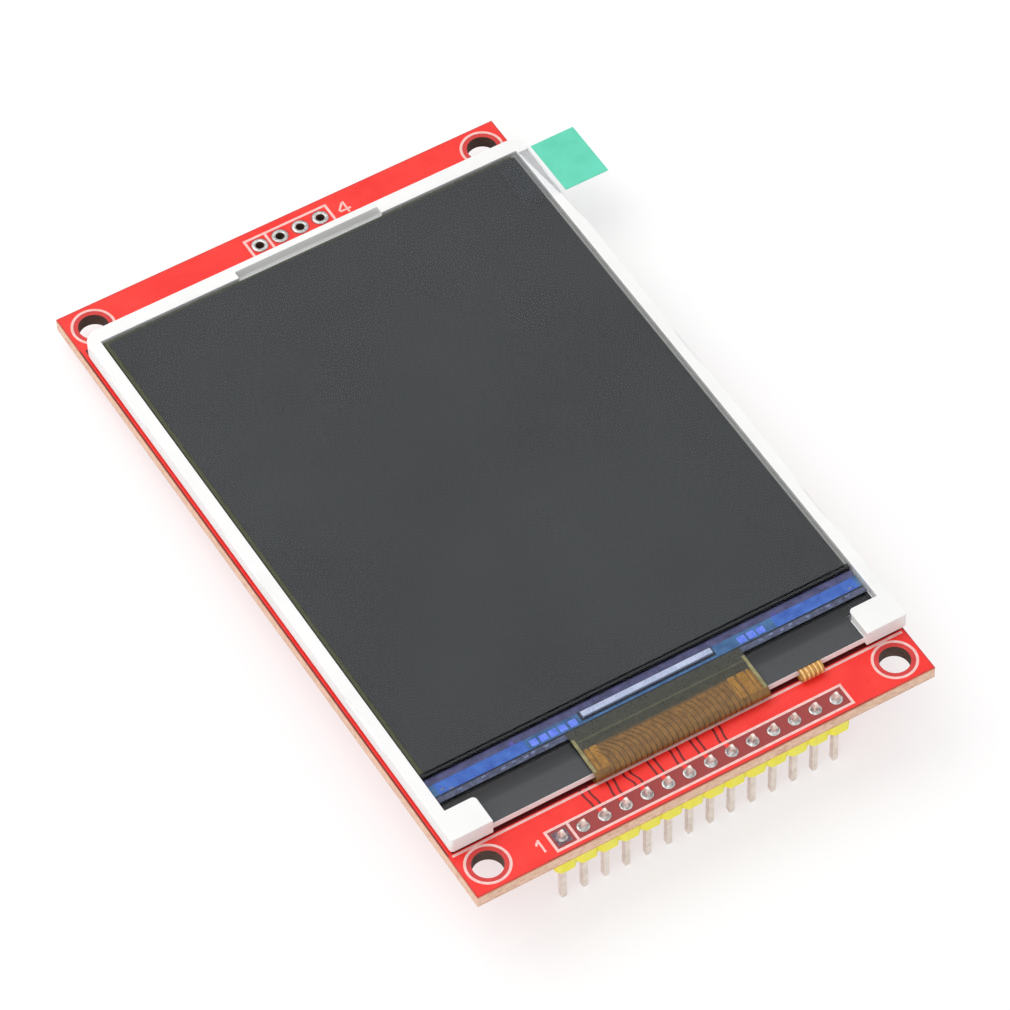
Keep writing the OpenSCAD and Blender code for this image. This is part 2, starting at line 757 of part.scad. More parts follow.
// Sheet metal folded over the base, with a sprung tongue on each side of its lid
module card_socket_shell() {
    color("silver") place_socket() {
        difference() {
            shell_fold();
            for (side = [-1, 1]) shell_side_gap(side);
            for (side = [-1, 1]) tongue_slot(side);
        }
        for (side = [-1, 1], x = [-socket_l, -shell_foot_l]) translate([x,
            side * (shell_w + shell_foot_w) / 2 - shell_foot_w / 2, 0])
            cube([shell_foot_l, shell_foot_w, shell_t]);
    }
}

// One bent strip: up the first side, over the lid and down the second side
module shell_fold() {
    fold_r = shell_fold_r + shell_t / 2;
    side_h = base_h - shell_fold_r;
    translate([-socket_l / 2, -(base_w + shell_t) / 2, 0]) rotate(90) rotate([0, -90, 0])
        bent_strip([[side_h, 0], [fold_r, -90], [base_w - 2 * shell_fold_r, 0], [fold_r, -90],
            [side_h, 0]], shell_t, socket_l, metal_arc);
}

// The folded sides reach the board only at the four solder feet
module shell_side_gap(side) {
    length = socket_l - 2 * shell_foot_l;
    translate([-shell_foot_l - length, side * shell_w / 2 - shell_foot_w / 2, -cut])
        cube([length, shell_foot_w, cut + socket_floor_t]);
}

// A tongue is cut free on three sides
module tongue_slot(side) {
    translate([-socket_l / 2, side * slot_w / 3, base_h - cut])
        linear_extrude(shell_t + 2 * cut) difference() {
            square([tongue_l + 2 * tongue_gap, tongue_w + 2 * tongue_gap], center = true);
            translate([tongue_gap, 0])
                square([tongue_l + 2 * tongue_gap, tongue_w], center = true);
        }
}

// Each contact rises from its solder foot, passes the wall and arches up into the slot
module card_contacts() {
    rise = leg_run(socket_floor_t, contact_bend_r, rise_angle);
    slant = 2 * contact_bend_r * sin(rise_angle) + rise * cos(rise_angle);
    start = -socket_l - fit - slant - contact_foot_l;
    color("gold") place_socket() for (i = [1 : contact_count])
        translate([start, along(i, contact_count, contact_pitch), contact_t / 2])
            bent_strip([[contact_foot_l, 0], [contact_bend_r, rise_angle], [rise, 0],
                [contact_bend_r, -rise_angle], [fit + socket_wall_t, 0],
                [contact_bend_r, lift_angle], [contact_beam_l, 0], [contact_bow_r, -bow_angle],
                [contact_tip_l, 0]], contact_t, contact_w, metal_arc);
}

// A chip part: a ceramic body between two slightly taller metal ends
module chip_part(l, w, h) {
    end_l = l * chip_end_share;
    translate([-l / 2, -w / 2, 0]) difference() {
        cube([l, w, h]);
        translate([end_l, -cut, h - chip_end_step])
            cube([l - 2 * end_l, w + 2 * cut, chip_end_step + cut]);
    }
}

module resistor(i) {
    color([0.15, 0.15, 0.15])
        under_board(resistor_row_x + along(i, resistor_count, chip_row_pitch), chip_row_y, 90)
            chip_part(resistor_l, resistor_w, resistor_h);
}

module capacitor(i) {
    color("tan")
        under_board(capacitor_row_x + along(i, capacitor_count, chip_row_pitch), chip_row_y, 90)
            chip_part(capacitor_l, capacitor_w, capacitor_h);
}

// Moulded body with drafted sides that meet at the level of the legs
module sot_package() {
    side = sot_w / 2;
    top = sot_foot + sot_h;
    rotate([90, 0, 0]) linear_extrude(sot_l, center = true) polygon([
        [sot_draft - side, sot_foot], [side - sot_draft, sot_foot], [side, sot_waist_z],
        [side - sot_draft, top], [sot_draft - side, top], [-side, sot_waist_z]]);
}

// One leg on one side of the body and two on the other
module sot_legs() {
    sot_leg();
    for (y = [-sot_leg_x, sot_leg_x]) translate([0, y, 0]) rotate(180) sot_leg();
}

module sot_leg() {
    fall = leg_run(sot_waist_z - sot_leg_t / 2, sot_bend_r, sot_leg_angle);
    translate([sot_w / 2, 0, sot_waist_z]) bent_strip([[sot_bend_r, 0],
        [sot_bend_r, -sot_leg_angle], [fall, 0], [sot_bend_r, sot_leg_angle],
        [sot_foot_l, 0]], sot_leg_t, sot_leg_w, metal_arc);
}

module place_regulator() {
    under_board(capacitor_row_x, chip_row_y + sot_gap) children();
}

module place_transistor() {
    under_board(resistor_row_x, chip_row_y + sot_gap) children();
}

module regulator_body() {
    color([0.12, 0.12, 0.12]) place_regulator() sot_package();
}

module regulator_legs() {
    color("silver") place_regulator() sot_legs();
}

module transistor_body() {
    color([0.12, 0.12, 0.12]) place_transistor() sot_package();
}

module transistor_legs() {
    color("silver") place_transistor() sot_legs();
}

board();
header_strip();
header_solder();
lcd_frame();
reflector_sheet();
light_guide();
diffuser_sheet();
prism_sheet_lower();
prism_sheet_upper();
rim_tape();
backlight_flex();
lower_polarizer();
array_glass();
filter_glass();
upper_polarizer();
driver_chip();
panel_flex();
flex_solder();
mounting_tape(-1);  // mounting_tape_left
mounting_tape(1);  // mounting_tape_right
protective_film();
tab_carrier();
pull_tab();
card_socket_base();
card_socket_shell();
card_contacts();
regulator_body();
regulator_legs();
transistor_body();
transistor_legs();
for (i = [1 : pin_count])
    header_pin(i);
for (i = [1 : led_count])
    led(i);
for (i = [1 : resistor_count])
    resistor(i);
for (i = [1 : capacitor_count])
    capacitor(i);
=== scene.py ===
import bpy
import bmesh
import json
from math import atan2, ceil, cos, pi, radians, sin
from mathutils import Euler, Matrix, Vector

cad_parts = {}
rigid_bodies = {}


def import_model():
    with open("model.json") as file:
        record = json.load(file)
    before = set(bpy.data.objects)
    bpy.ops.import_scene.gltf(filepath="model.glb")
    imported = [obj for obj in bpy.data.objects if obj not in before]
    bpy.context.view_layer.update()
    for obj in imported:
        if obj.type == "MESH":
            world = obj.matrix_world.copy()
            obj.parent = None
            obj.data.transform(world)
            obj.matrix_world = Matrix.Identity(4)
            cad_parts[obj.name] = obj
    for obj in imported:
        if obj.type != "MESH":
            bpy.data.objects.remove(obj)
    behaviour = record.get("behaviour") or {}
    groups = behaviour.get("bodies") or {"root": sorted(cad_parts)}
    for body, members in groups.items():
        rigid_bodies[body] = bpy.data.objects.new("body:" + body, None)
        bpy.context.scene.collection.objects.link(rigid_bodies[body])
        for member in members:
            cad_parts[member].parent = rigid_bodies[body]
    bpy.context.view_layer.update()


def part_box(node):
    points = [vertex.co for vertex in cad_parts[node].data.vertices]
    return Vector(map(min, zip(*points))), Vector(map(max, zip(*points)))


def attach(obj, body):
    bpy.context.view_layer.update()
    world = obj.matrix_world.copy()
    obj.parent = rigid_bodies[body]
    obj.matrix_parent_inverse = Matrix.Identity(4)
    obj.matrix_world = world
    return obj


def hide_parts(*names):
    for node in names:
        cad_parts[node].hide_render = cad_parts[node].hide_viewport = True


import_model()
scene = bpy.context.scene
mm = 0.001
boardLow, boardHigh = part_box("board")
glassLow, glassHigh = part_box("array_glass")
print("frame loaded")


# small helpers for nodes, colours and meshes

def tone(red, green, blue):
    # screen colour from 0 to 255, turned into the linear colour of a socket
    def linear(value):
        value = value / 255
        return value / 12.92 if value <= 0.04045 else ((value + 0.055) / 1.055) ** 2.4
    return (linear(red), linear(green), linear(blue), 1.0)


black = tone(0, 0, 0)
white = tone(255, 255, 255)


def addNode(tree, kind, sockets=None, **settings):
    node = tree.nodes.new(kind)
    for name, value in settings.items():
        setattr(node, name, value)
    for socket, value in (sockets or {}).items():
        if isinstance(value, bpy.types.NodeSocket):
            tree.links.new(value, node.inputs[socket])
        else:
            node.inputs[socket].default_value = value
    return node


def boardPoint(x, y, z=0.0):
    # millimetres from the left front corner of the board and from its upper face
    return Vector((boardLow.x + x * mm, boardLow.y + y * mm, boardHigh.z + z * mm))


def addPiece(name, mesh, material, replaced=()):
    piece = bpy.data.objects.new(name, mesh)
    scene.collection.objects.link(piece)
    mesh.materials.clear()
    mesh.materials.append(material)
    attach(piece, "root")
    if replaced:
        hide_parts(*replaced)


def plainMesh(source, name):
    # what the modifiers or the curve make, as a mesh of its own
    bpy.context.view_layer.update()
    graph = bpy.context.evaluated_depsgraph_get()
    mesh = bpy.data.meshes.new_from_object(source.evaluated_get(graph), depsgraph=graph)
    mesh.name = name
    holder = source.data
    bpy.data.objects.remove(source)
    store = bpy.data.curves if isinstance(holder, bpy.types.Curve) else bpy.data.meshes
    store.remove(holder)
    return mesh


def flatShape(name, outlines, low, high):
    # closed outlines in one plane, a smaller one inside a larger one is a hole
    curve = bpy.data.curves.new(name, "CURVE")
    curve.dimensions = "2D"
    curve.fill_mode = "BOTH"
    curve.extrude = (high - low) / 2
    for outline in outlines:
        spline = curve.splines.new("POLY")
        spline.points.add(len(outline) - 1)
        for point, place in zip(spline.points, outline):
            point.co = (place[0], place[1], 0.0, 1.0)
        spline.use_cyclic_u = True
    source = bpy.data.objects.new(name, curve)
    scene.collection.objects.link(source)
    mesh = plainMesh(source, name)
    for vertex in mesh.vertices:
        vertex.co.z += (high + low) / 2
    return mesh


def squareOutline(x0, y0, x1, y1):
    return [boardPoint(x, y) for x, y in ((x0, y0), (x1, y0), (x1, y1), (x0, y1))]


def roundOutline(x, y, radius, steps=64):
    centre = boardPoint(x, y)
    turns = [2 * pi * step / steps for step in range(steps)]
    return [centre + Vector((cos(turn), sin(turn), 0.0)) * radius * mm for turn in turns]


softening = {"merge": 0.002, "flatAngle": 0.5, "sharpAngle": 40.0, "segments": 2}


def softened(node, name, width, sizes=softening):
    # merged copy of a CAD node with its edges broken
    mesh = bpy.data.objects[node].data.copy()
    work = bmesh.new()
    work.from_mesh(mesh)
    flat = radians(sizes["flatAngle"])
    bmesh.ops.remove_doubles(work, verts=work.verts, dist=sizes["merge"] * mm)
    bmesh.ops.dissolve_limit(work, angle_limit=flat, verts=work.verts, edges=work.edges)
    work.to_mesh(mesh)
    work.free()
    copy = bpy.data.objects.new(name, mesh)
    scene.collection.objects.link(copy)
    bevel = copy.modifiers.new("edges", "BEVEL")
    bevel.width = width * mm
    bevel.segments = sizes["segments"]
    bevel.limit_method = "ANGLE"
    bevel.angle_limit = radians(sizes["sharpAngle"])
    return plainMesh(copy, name)


def startTree(name, sizes):
    # node tree that places copies or follows paths, with one named input for each size
    kinds = {"int": "NodeSocketInt", "float": "NodeSocketFloat", "tuple": "NodeSocketVector"}
    tree = bpy.data.node_groups.new(name, "GeometryNodeTree")
    tree.interface.new_socket("Places", in_out="INPUT", socket_type="NodeSocketGeometry")
    for label, value in sizes.items():
        tree.interface.new_socket(label, in_out="INPUT", socket_type=kinds[type(value).__name__])
    tree.interface.new_socket("Finish", in_out="INPUT", socket_type="NodeSocketMaterial")
    tree.interface.new_socket("Piece", in_out="OUTPUT", socket_type="NodeSocketGeometry")
    return tree, tree.nodes.new("NodeGroupInput").outputs


def endTree(tree, given, geometry, smooth=True):
    real = addNode(tree, "GeometryNodeRealizeInstances", {"Geometry": geometry}).outputs[0]
    if smooth:
        real = addNode(tree, "GeometryNodeSetShadeSmooth", {"Geometry": real}).outputs[0]
    painted = addNode(tree, "GeometryNodeSetMaterial", {"Geometry": real, "Material": given["Finish"]})
    result = tree.nodes.new("NodeGroupOutput")
    tree.links.new(painted.outputs[0], result.inputs["Piece"])


def growPiece(name, tree, points, edges, sizes, finish, replaced=()):
    mesh = bpy.data.meshes.new(name + "Places")
    mesh.from_pydata(points, edges, [])
    source = bpy.data.objects.new(name, mesh)
    scene.collection.objects.link(source)
    grower = source.modifiers.new("grower", "NODES")
    grower.node_group = tree
    values = dict(sizes, Finish=finish)
    for item in tree.interface.items_tree:
        if item.in_out == "INPUT" and item.name in values:
            grower[item.identifier] = values[item.name]
    addPiece(name, plainMesh(source, name), finish, replaced)


def reckon(tree, operation, *values):
    return addNode(tree, "ShaderNodeMath", dict(enumerate(values)), operation=operation).outputs[0]


# camera and studio

cameraSizes = {"place": (-0.1939453, -0.3436023, 0.4971877), "turn": (38.35922, 0.96882, -30.96962),
    "lens": 213.24, "sensor": 36.0, "nearest": 0.01, "farthest": 20.0}
worldSizes = {"onObject": 0.62, "seen": 1.0}
lampSizes = {
    "lampAbove": {"place": (-0.25, 0.35, 0.75), "size": 0.7, "power": 3.2},
    "lampFront": {"place": (-0.55, -0.55, 0.45), "size": 0.6, "power": 1.5},
}
floorSizes = {"reach": 2.4, "roughness": 0.9, "tone": 0.86, "toneSeen": 0.42, "glowSeen": 0.62}


def setCamera(sizes):
    data = bpy.data.cameras.new("camera")
    data.sensor_width = sizes["sensor"]
    data.lens = sizes["lens"]
    data.clip_start = sizes["nearest"]
    data.clip_end = sizes["farthest"]
    camera = bpy.data.objects.new("camera", data)
    camera.location = sizes["place"]
    camera.rotation_euler = Euler([radians(angle) for angle in sizes["turn"]], "XYZ")
    scene.collection.objects.link(camera)
    scene.camera = camera


def addLamp(name, sizes):
    data = bpy.data.lights.new(name, "AREA")
    data.shape = "DISK"
    data.size = sizes["size"]
    data.energy = sizes["power"]
    lamp = bpy.data.objects.new(name, data)
    lamp.location = sizes["place"]
    lamp.rotation_euler = (-Vector(sizes["place"])).to_track_quat("-Z", "Y").to_euler()
    scene.collection.objects.link(lamp)


def seenDirectly(tree):
    # one where the eye, a mirror or clear plastic looks at the background
    path = addNode(tree, "ShaderNodeLightPath").outputs
    either = reckon(tree, "MAXIMUM", path["Is Camera Ray"], path["Is Glossy Ray"])
    return reckon(tree, "MAXIMUM", either, path["Is Transmission Ray"])


def lightStudio(sizes, lamps):
    world = bpy.data.worlds.new("studio")
    world.use_nodes = True
    tree = world.node_tree
    background = tree.nodes["Background"]
    background.inputs["Color"].default_value = white
    strength = addNode(tree, "ShaderNodeMapRange", {"Value": seenDirectly(tree),
        "To Min": sizes["onObject"], "To Max": sizes["seen"]})
    tree.links.new(strength.outputs["Result"], background.inputs["Strength"])
    scene.world = world
    scene.view_settings.view_transform = "Standard"
    for name, lamp in lamps.items():
        addLamp(name, lamp)


def layFloor(sizes):
    # the board stands on its pin ends and on the rear of the card socket
    pinLow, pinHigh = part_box("header_pin_01")
    shellLow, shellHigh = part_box("card_socket_shell")
    front = Vector((0.0, (pinLow.y + pinHigh.y) / 2, pinLow.z))
    rear = Vector((0.0, shellHigh.y, shellLow.z))
    along = (rear - front).normalized() * sizes["reach"]
    across = Vector((1.0, 0.0, 0.0)) * sizes["reach"]
    corners = [front - across - along, front + across - along,
        front + across + along, front - across + along]
    mesh = bpy.data.meshes.new("floor")
    mesh.from_pydata(corners, [], [(0, 1, 2, 3)])
    floor = bpy.data.objects.new("floor", mesh)
    scene.collection.objects.link(floor)
    paint = bpy.data.materials.new("floorPaint")
    paint.use_nodes = True
    tree = paint.node_tree
    shader = tree.nodes["Principled BSDF"]
    shader.inputs["Roughness"].default_value = sizes["roughness"]
    shader.inputs["Specular IOR Level"].default_value = 0.0
    shader.inputs["Emission Color"].default_value = white
    seen = seenDirectly(tree)
    glow = reckon(tree, "MULTIPLY", seen, sizes["glowSeen"])
    tree.links.new(glow, shader.inputs["Emission Strength"])
    paleness = reckon(tree, "MULTIPLY_ADD", seen, sizes["toneSeen"] - sizes["tone"], sizes["tone"])
    tree.links.new(paleness, shader.inputs["Base Color"])
    mesh.materials.append(paint)


setCamera(cameraSizes)
lightStudio(worldSizes, lampSizes)
layFloor(floorSizes)
print("camera, lamps and floor set")


# finishes

def startFinish(name, roughness, metallic=0.0, sockets=None):
    material = bpy.data.materials.new(name)
    material.use_nodes = True
    tree = material.node_tree
    shader = tree.nodes["Principled BSDF"]
    shader.inputs["Roughness"].default_value = roughness
    shader.inputs["Metallic"].default_value = metallic
    for socket, value in (sockets or {}).items():
        shader.inputs[socket].default_value = value
    place = addNode(tree, "ShaderNodeTexCoord").outputs["Object"]
    return material, tree, shader, place


def grain(tree, place, size, detail=3.0, stretch=(1.0, 1.0, 1.0)):
    # noise whose grains are about this many millimetres across
    spread = addNode(tree, "ShaderNodeMapping", {"Vector": place, "Scale": stretch}).outputs[0]
    noise = addNode(tree, "ShaderNodeTexNoise", {"Vector": spread, "Scale": 1 / (size * mm),
        "Detail": detail, "Roughness": 0.55})
    return noise.outputs["Fac"]


def mixTones(tree, factor, first, second, blend="MIX"):
    mixer = addNode(tree, "ShaderNodeMix", {"Factor": factor}, data_type="RGBA", blend_type=blend)
    for socket, value in (("A_Color", first), ("B_Color", second)):
        target = next(item for item in mixer.inputs if item.identifier == socket)
        if isinstance(value, bpy.types.NodeSocket):
            tree.links.new(value, target)
        else:
            target.default_value = value
    return next(item for item in mixer.outputs if item.identifier == "Result_Color")


def scaled(tree, value, low, high, fromLow=0.3, fromHigh=0.7):
    return addNode(tree, "ShaderNodeMapRange", {"Value": value, "From Min": fromLow, "From Max": fromHigh,
        "To Min": low, "To Max": high}).outputs["Result"]


def setColour(tree, shader, colour):
    tree.links.new(colour, shader.inputs["Base Color"])


def setGloss(tree, shader, fine, low, high):
    tree.links.new(scaled(tree, fine, low, high), shader.inputs["Roughness"])


def setBump(tree, shader, height, strength, depth):
    bump = addNode(tree, "ShaderNodeBump", {"Height": height, "Strength": strength,
        "Distance": depth * mm})
    tree.links.new(bump.outputs["Normal"], shader.inputs["Normal"])


def mottled(tree, place, size, dark, light):
    # two colours that drift into each other over about this many millimetres
    return mixTones(tree, scaled(tree, grain(tree, place, size), 0.0, 1.0), dark, light)


def steps(tree, value, stops, hard=True):
    # colours that change at given shares of a value from 0 to 1
    ramp = addNode(tree, "ShaderNodeValToRGB", {"Fac": value})
    ramp.color_ramp.interpolation = "CONSTANT" if hard else "LINEAR"
    bands = ramp.color_ramp.elements
    while len(bands) < len(stops):
        bands.new(0.5)
    for band, (share, colour) in zip(bands, stops):
        band.position = share
        band.color = colour
    return ramp.outputs["Color"]


def axisOf(tree, place, axis):
    return addNode(tree, "ShaderNodeSeparateXYZ", {"Vector": place}).outputs[axis]


def shareAlong(tree, value, low, high):
    # zero at the first limit and one at the second, both in metres
    share = addNode(tree, "ShaderNodeMapRange", {"Value": value, "From Min": low, "From Max": high})
    return share.outputs["Result"]


def facingUp(tree):
    return axisOf(tree, addNode(tree, "ShaderNodeNewGeometry").outputs["True Normal"], "Z")


def fromMiddle(tree, value, low, high):
    # distance from the middle of two limits, both in metres
    return reckon(tree, "ABSOLUTE", reckon(tree, "SUBTRACT", value, (low + high) / 2))


def simpleFinish(name, dark, light, roughness, metallic=0.0, size=1.0, bumpSize=0.15, bumpDepth=0.01,
        bumpStrength=0.3):
    # mottled colour with uneven gloss and a fine surface of its own
    low, high = roughness
    material, tree, shader, place = startFinish(name, low, metallic)
    setColour(tree, shader, mottled(tree, place, size, dark, light))
    fine = grain(tree, place, bumpSize, 4.0)
    setGloss(tree, shader, fine, low, high)
    setBump(tree, shader, fine, bumpStrength, bumpDepth)
    return material


boardShares = {"trackGaps": 0.56, "frameShade": 0.98, "lowerRim": 0.1, "upperRim": 0.82, "rimLine": 0.95}
boardBands = {"nearPins": 19.5, "edge": 0.02, "glossy": 0.3, "dull": 0.75, "upright": 0.5}
boardGrains = {"mask": 1.6, "blotch": 1.3, "layers": 0.16, "stretch": (0.25, 0.25, 1.6)}


def boardFinish(shares, bands, grains):
    # fibreglass sheet: dark mask on both faces, layered cut edges, and drilled walls painted dark brown as
    # shade inside the holes
    material, tree, shader, place = startFinish("maskedBoard", bands["glossy"])
    side, back, up = (axisOf(tree, place, axis) for axis in "XYZ")
    frameLow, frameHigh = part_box("lcd_frame")
    mask = mottled(tree, place, grains["mask"], tone(204, 48, 46), tone(220, 58, 54))
    # bare mask in the header row and between the tracks, then painted shade in the darkest stop, on the
    # board under and just in front of the frame
    rows = steps(tree, shareAlong(tree, back, boardLow.y, frameLow.y), [(0.0, tone(158, 56, 54)),
        (shares["trackGaps"], tone(122, 16, 18)), (shares["frameShade"], tone(96, 16, 20))])
    inFront = reckon(tree, "LESS_THAN", back, frameHigh.y)
    above = reckon(tree, "GREATER_THAN", up, (boardLow.z + boardHigh.z) / 2)
    aside = fromMiddle(tree, side, frameLow.x, frameHigh.x)
    nearPins = reckon(tree, "LESS_THAN", aside, bands["nearPins"] * mm)
    beyond = reckon(tree, "GREATER_THAN", back, frameLow.y)
    rowsOrFrame = reckon(tree, "MAXIMUM", nearPins, beyond)
    where = reckon(tree, "MULTIPLY", reckon(tree, "MULTIPLY", inFront, above), rowsOrFrame)
    mask = mixTones(tree, where, mask, rows)
    # cut edge in fine layers, browner along its lower and upper rim
    layerGrain = grain(tree, place, grains["layers"], 2.0, grains["stretch"])
    layers = scaled(tree, layerGrain, 0.0, 1.0)
    blotch = mottled(tree, place, grains["blotch"], tone(206, 148, 116), tone(242, 194, 168))
    sheet = mixTones(tree, layers, blotch, tone(252, 222, 198))
    rim = steps(tree, shareAlong(tree, up, boardLow.z, boardHigh.z), [(0.0, tone(214, 160, 130)),
        (shares["lowerRim"], white), (shares["upperRim"], white), (shares["rimLine"], tone(214, 150, 112))],
        hard=False)
    edge = mixTones(tree, 1.0, sheet, rim, "MULTIPLY")
    # drilled walls: painted shade inside the holes, much darker than the cut edge of the same sheet
    shadedHoleWall = mixTones(tree, layers, tone(58, 38, 30), tone(92, 66, 52))
    outside = []
    for value, low, high in ((side, boardLow.x, boardHigh.x), (back, boardLow.y, boardHigh.y)):
        limit = (high - low) / 2 - bands["edge"] * mm
        outside.append(reckon(tree, "GREATER_THAN", fromMiddle(tree, value, low, high), limit))
    atEdge = reckon(tree, "MAXIMUM", outside[0], outside[1])
    upright = reckon(tree, "LESS_THAN", reckon(tree, "ABSOLUTE", facingUp(tree)), bands["upright"])
    setColour(tree, shader, mixTones(tree, upright, mask, mixTones(tree, atEdge, shadedHoleWall, edge)))
    gloss = reckon(tree, "MULTIPLY_ADD", upright, bands["dull"] - bands["glossy"], bands["glossy"])
    tree.links.new(gloss, shader.inputs["Roughness"])
    setBump(tree, shader, layerGrain, 0.5, 0.02)
    return material


def maskFinish(name, dark, light):
    # glossy lacquer that flows over copper
    material, tree, shader, place = startFinish(name, 0.3, 0.0, {"Specular IOR Level": 0.4})
    setColour(tree, shader, mottled(tree, place, 3.0, dark, light))
    setGloss(tree, shader, grain(tree, place, 0.35, 4.0), 0.26, 0.42)
    setBump(tree, shader, grain(tree, place, 0.7, 2.0), 0.25, 0.012)
    return material


ledgeShares = {"seam": 0.2, "blueBand": 0.23, "seamEnd": 0.26, "violetBand": 0.69, "rearShade": 0.96}
blueShares = {"rim": 0.01, "leftEnd": 0.215, "rightStart": 0.795}


def glassFinish(shares, blues):
    # lower glass: bare circuits show on the ledge in front of the upper glass
    material, tree, shader, place = startFinish("circuitGlass", 0.16, 0.0, {"Specular IOR Level": 0.5})
    ledge = shareAlong(tree, axisOf(tree, place, "Y"), glassLow.y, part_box("filter_glass")[0].y)
    width = shareAlong(tree, axisOf(tree, place, "X"), glassLow.x, glassHigh.x)
    blue = mottled(tree, place, 1.2, tone(44, 88, 180), tone(66, 118, 208))
    teal = mottled(tree, place, 1.2, tone(40, 84, 132), tone(70, 120, 170))
    outer = steps(tree, width, [(0.0, black), (blues["rim"], white), (blues["leftEnd"], black),
        (blues["rightStart"], white), (1.0 - blues["rim"], black)])
    lilac = mottled(tree, place, 0.5, tone(54, 60, 84), tone(96, 102, 130))
    violet = mottled(tree, place, 0.9, tone(58, 58, 96), tone(84, 84, 130))
    bandFront = steps(tree, ledge, [(0.0, black), (shares["blueBand"], white)])
    bandRear = steps(tree, ledge, [(0.0, black), (shares["violetBand"], white)])
    # the last stop is painted shade on the ledge in front of the upper glass
    seam = steps(tree, ledge, [(0.0, white), (shares["seam"], tone(70, 70, 90)), (shares["seamEnd"], white),
        (shares["rearShade"], tone(30, 30, 40))])
    bands = mixTones(tree, bandFront, lilac, mixTones(tree, outer, teal, blue))
    colour = mixTones(tree, 1.0, mixTones(tree, bandRear, bands, violet), seam, "MULTIPLY")
    level = reckon(tree, "GREATER_THAN", facingUp(tree), 0.5)
    setColour(tree, shader, mixTones(tree, level, tone(16, 18, 24), colour))
    setGloss(tree, shader, grain(tree, place, 0.6), 0.1, 0.2)
    setBump(tree, shader, grain(tree, place, 2.5, 2.0), 0.1, 0.004)
    return material


upperGlassShares = {"left": 0.02, "right": 0.985}
screenLap = 0.1


def upperGlassFinish(shares, lap):
    # grey bevel of the upper glass that shows beside the polarizer, painted dark olive on the left as shade
    # beside the frame rim
    material, tree, shader, place = startFinish("filterGlass", 0.2)
    width = shareAlong(tree, axisOf(tree, place, "X"), glassLow.x, glassHigh.x)
    # the olive stops are painted shade, the last stop is the grey of the bevel
    bevelAndShade = steps(tree, width, [(0.0, tone(74, 76, 44)), (shares["left"], tone(64, 66, 44)),
        (shares["right"], tone(150, 150, 146))])
    front = shareAlong(tree, axisOf(tree, place, "Y"), glassLow.y, glassHigh.y)
    screenFront = (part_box("upper_polarizer")[0].y - glassLow.y + lap * mm) / (glassHigh.y - glassLow.y)
    mask = steps(tree, front, [(0.0, black), (screenFront, white)])
    setColour(tree, shader, mixTones(tree, mask, tone(4, 5, 8), bevelAndShade))
    setGloss(tree, shader, grain(tree, place, 0.8), 0.15, 0.28)
    setBump(tree, shader, grain(tree, place, 3.0, 3.0), 0.12, 0.005)
    return material


def screenFinish():
    material, tree, shader, place = startFinish("darkScreen", 0.2, 0.0, {"Specular IOR Level": 0.5})
    cloud = scaled(tree, grain(tree, place, 26.0, 2.0), 0.0, 1.0)
    setColour(tree, shader, mixTones(tree, cloud, tone(42, 45, 47), tone(50, 53, 55)))
    setGloss(tree, shader, grain(tree, place, 5.0, 4.0), 0.16, 0.26)
    setBump(tree, shader, grain(tree, place, 30.0, 2.0), 0.2, 0.01)
    return material


def clearFinish(name, tint, roughness):
    # thin clear film: mostly see-through, with a faint tint and a reflection that grows sideways
    material = bpy.data.materials.new(name)
    material.use_nodes = True
    tree = material.node_tree
    tree.nodes.remove(tree.nodes["Principled BSDF"])
    place = addNode(tree, "ShaderNodeTexCoord").outputs["Object"]
    wave = grain(tree, place, 9.0, 2.0)
    bump = addNode(tree, "ShaderNodeBump", {"Height": wave, "Strength": 0.15, "Distance": 0.02 * mm})
    bump = bump.outputs["Normal"]
    through = addNode(tree, "ShaderNodeBsdfTransparent", {"Color": tint}).outputs[0]
    shine = addNode(tree, "ShaderNodeBsdfGlossy", {"Color": white, "Roughness": roughness,
        "Normal": bump}).outputs[0]
    edge = addNode(tree, "ShaderNodeFresnel", {"IOR": 1.1, "Normal": bump}).outputs[0]
    both = addNode(tree, "ShaderNodeMixShader", {0: edge, 1: through, 2: shine}).outputs[0]
    tree.links.new(both, tree.nodes["Material Output"].inputs["Surface"])
    return material


def tapeFinish():
    # black masking tape: painted sheen makes its open front grey and painted shadow of the glass makes it
    # blacker beside the glass
    material, tree, shader, place = startFinish("blackTape", 0.35)
    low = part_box("rim_tape")[0]
    reach = shareAlong(tree, axisOf(tree, place, "Y"), low.y, glassLow.y)
    # grey stops at the front are painted sheen, the near-black stop beside the glass is painted shadow
    sheenAndShadow = steps(tree, reach, [(0.0, tone(66, 68, 71)), (0.5, tone(64, 66, 69)), (0.62, tone(40, 42, 45)),
        (0.82, tone(14, 14, 16))], hard=False)
    fine = grain(tree, place, 0.2, 4.0)
    setColour(tree, shader, mixTones(tree, scaled(tree, fine, 0.0, 0.25), sheenAndShadow, tone(30, 31, 33)))
    setGloss(tree, shader, grain(tree, place, 1.5), 0.3, 0.5)
    setBump(tree, shader, fine, 0.2, 0.006)
    return material


flexShares = {"amberEnd": 0.5, "oliveStart": 0.58, "lineStart": 0.72, "lineEnd": 0.76}


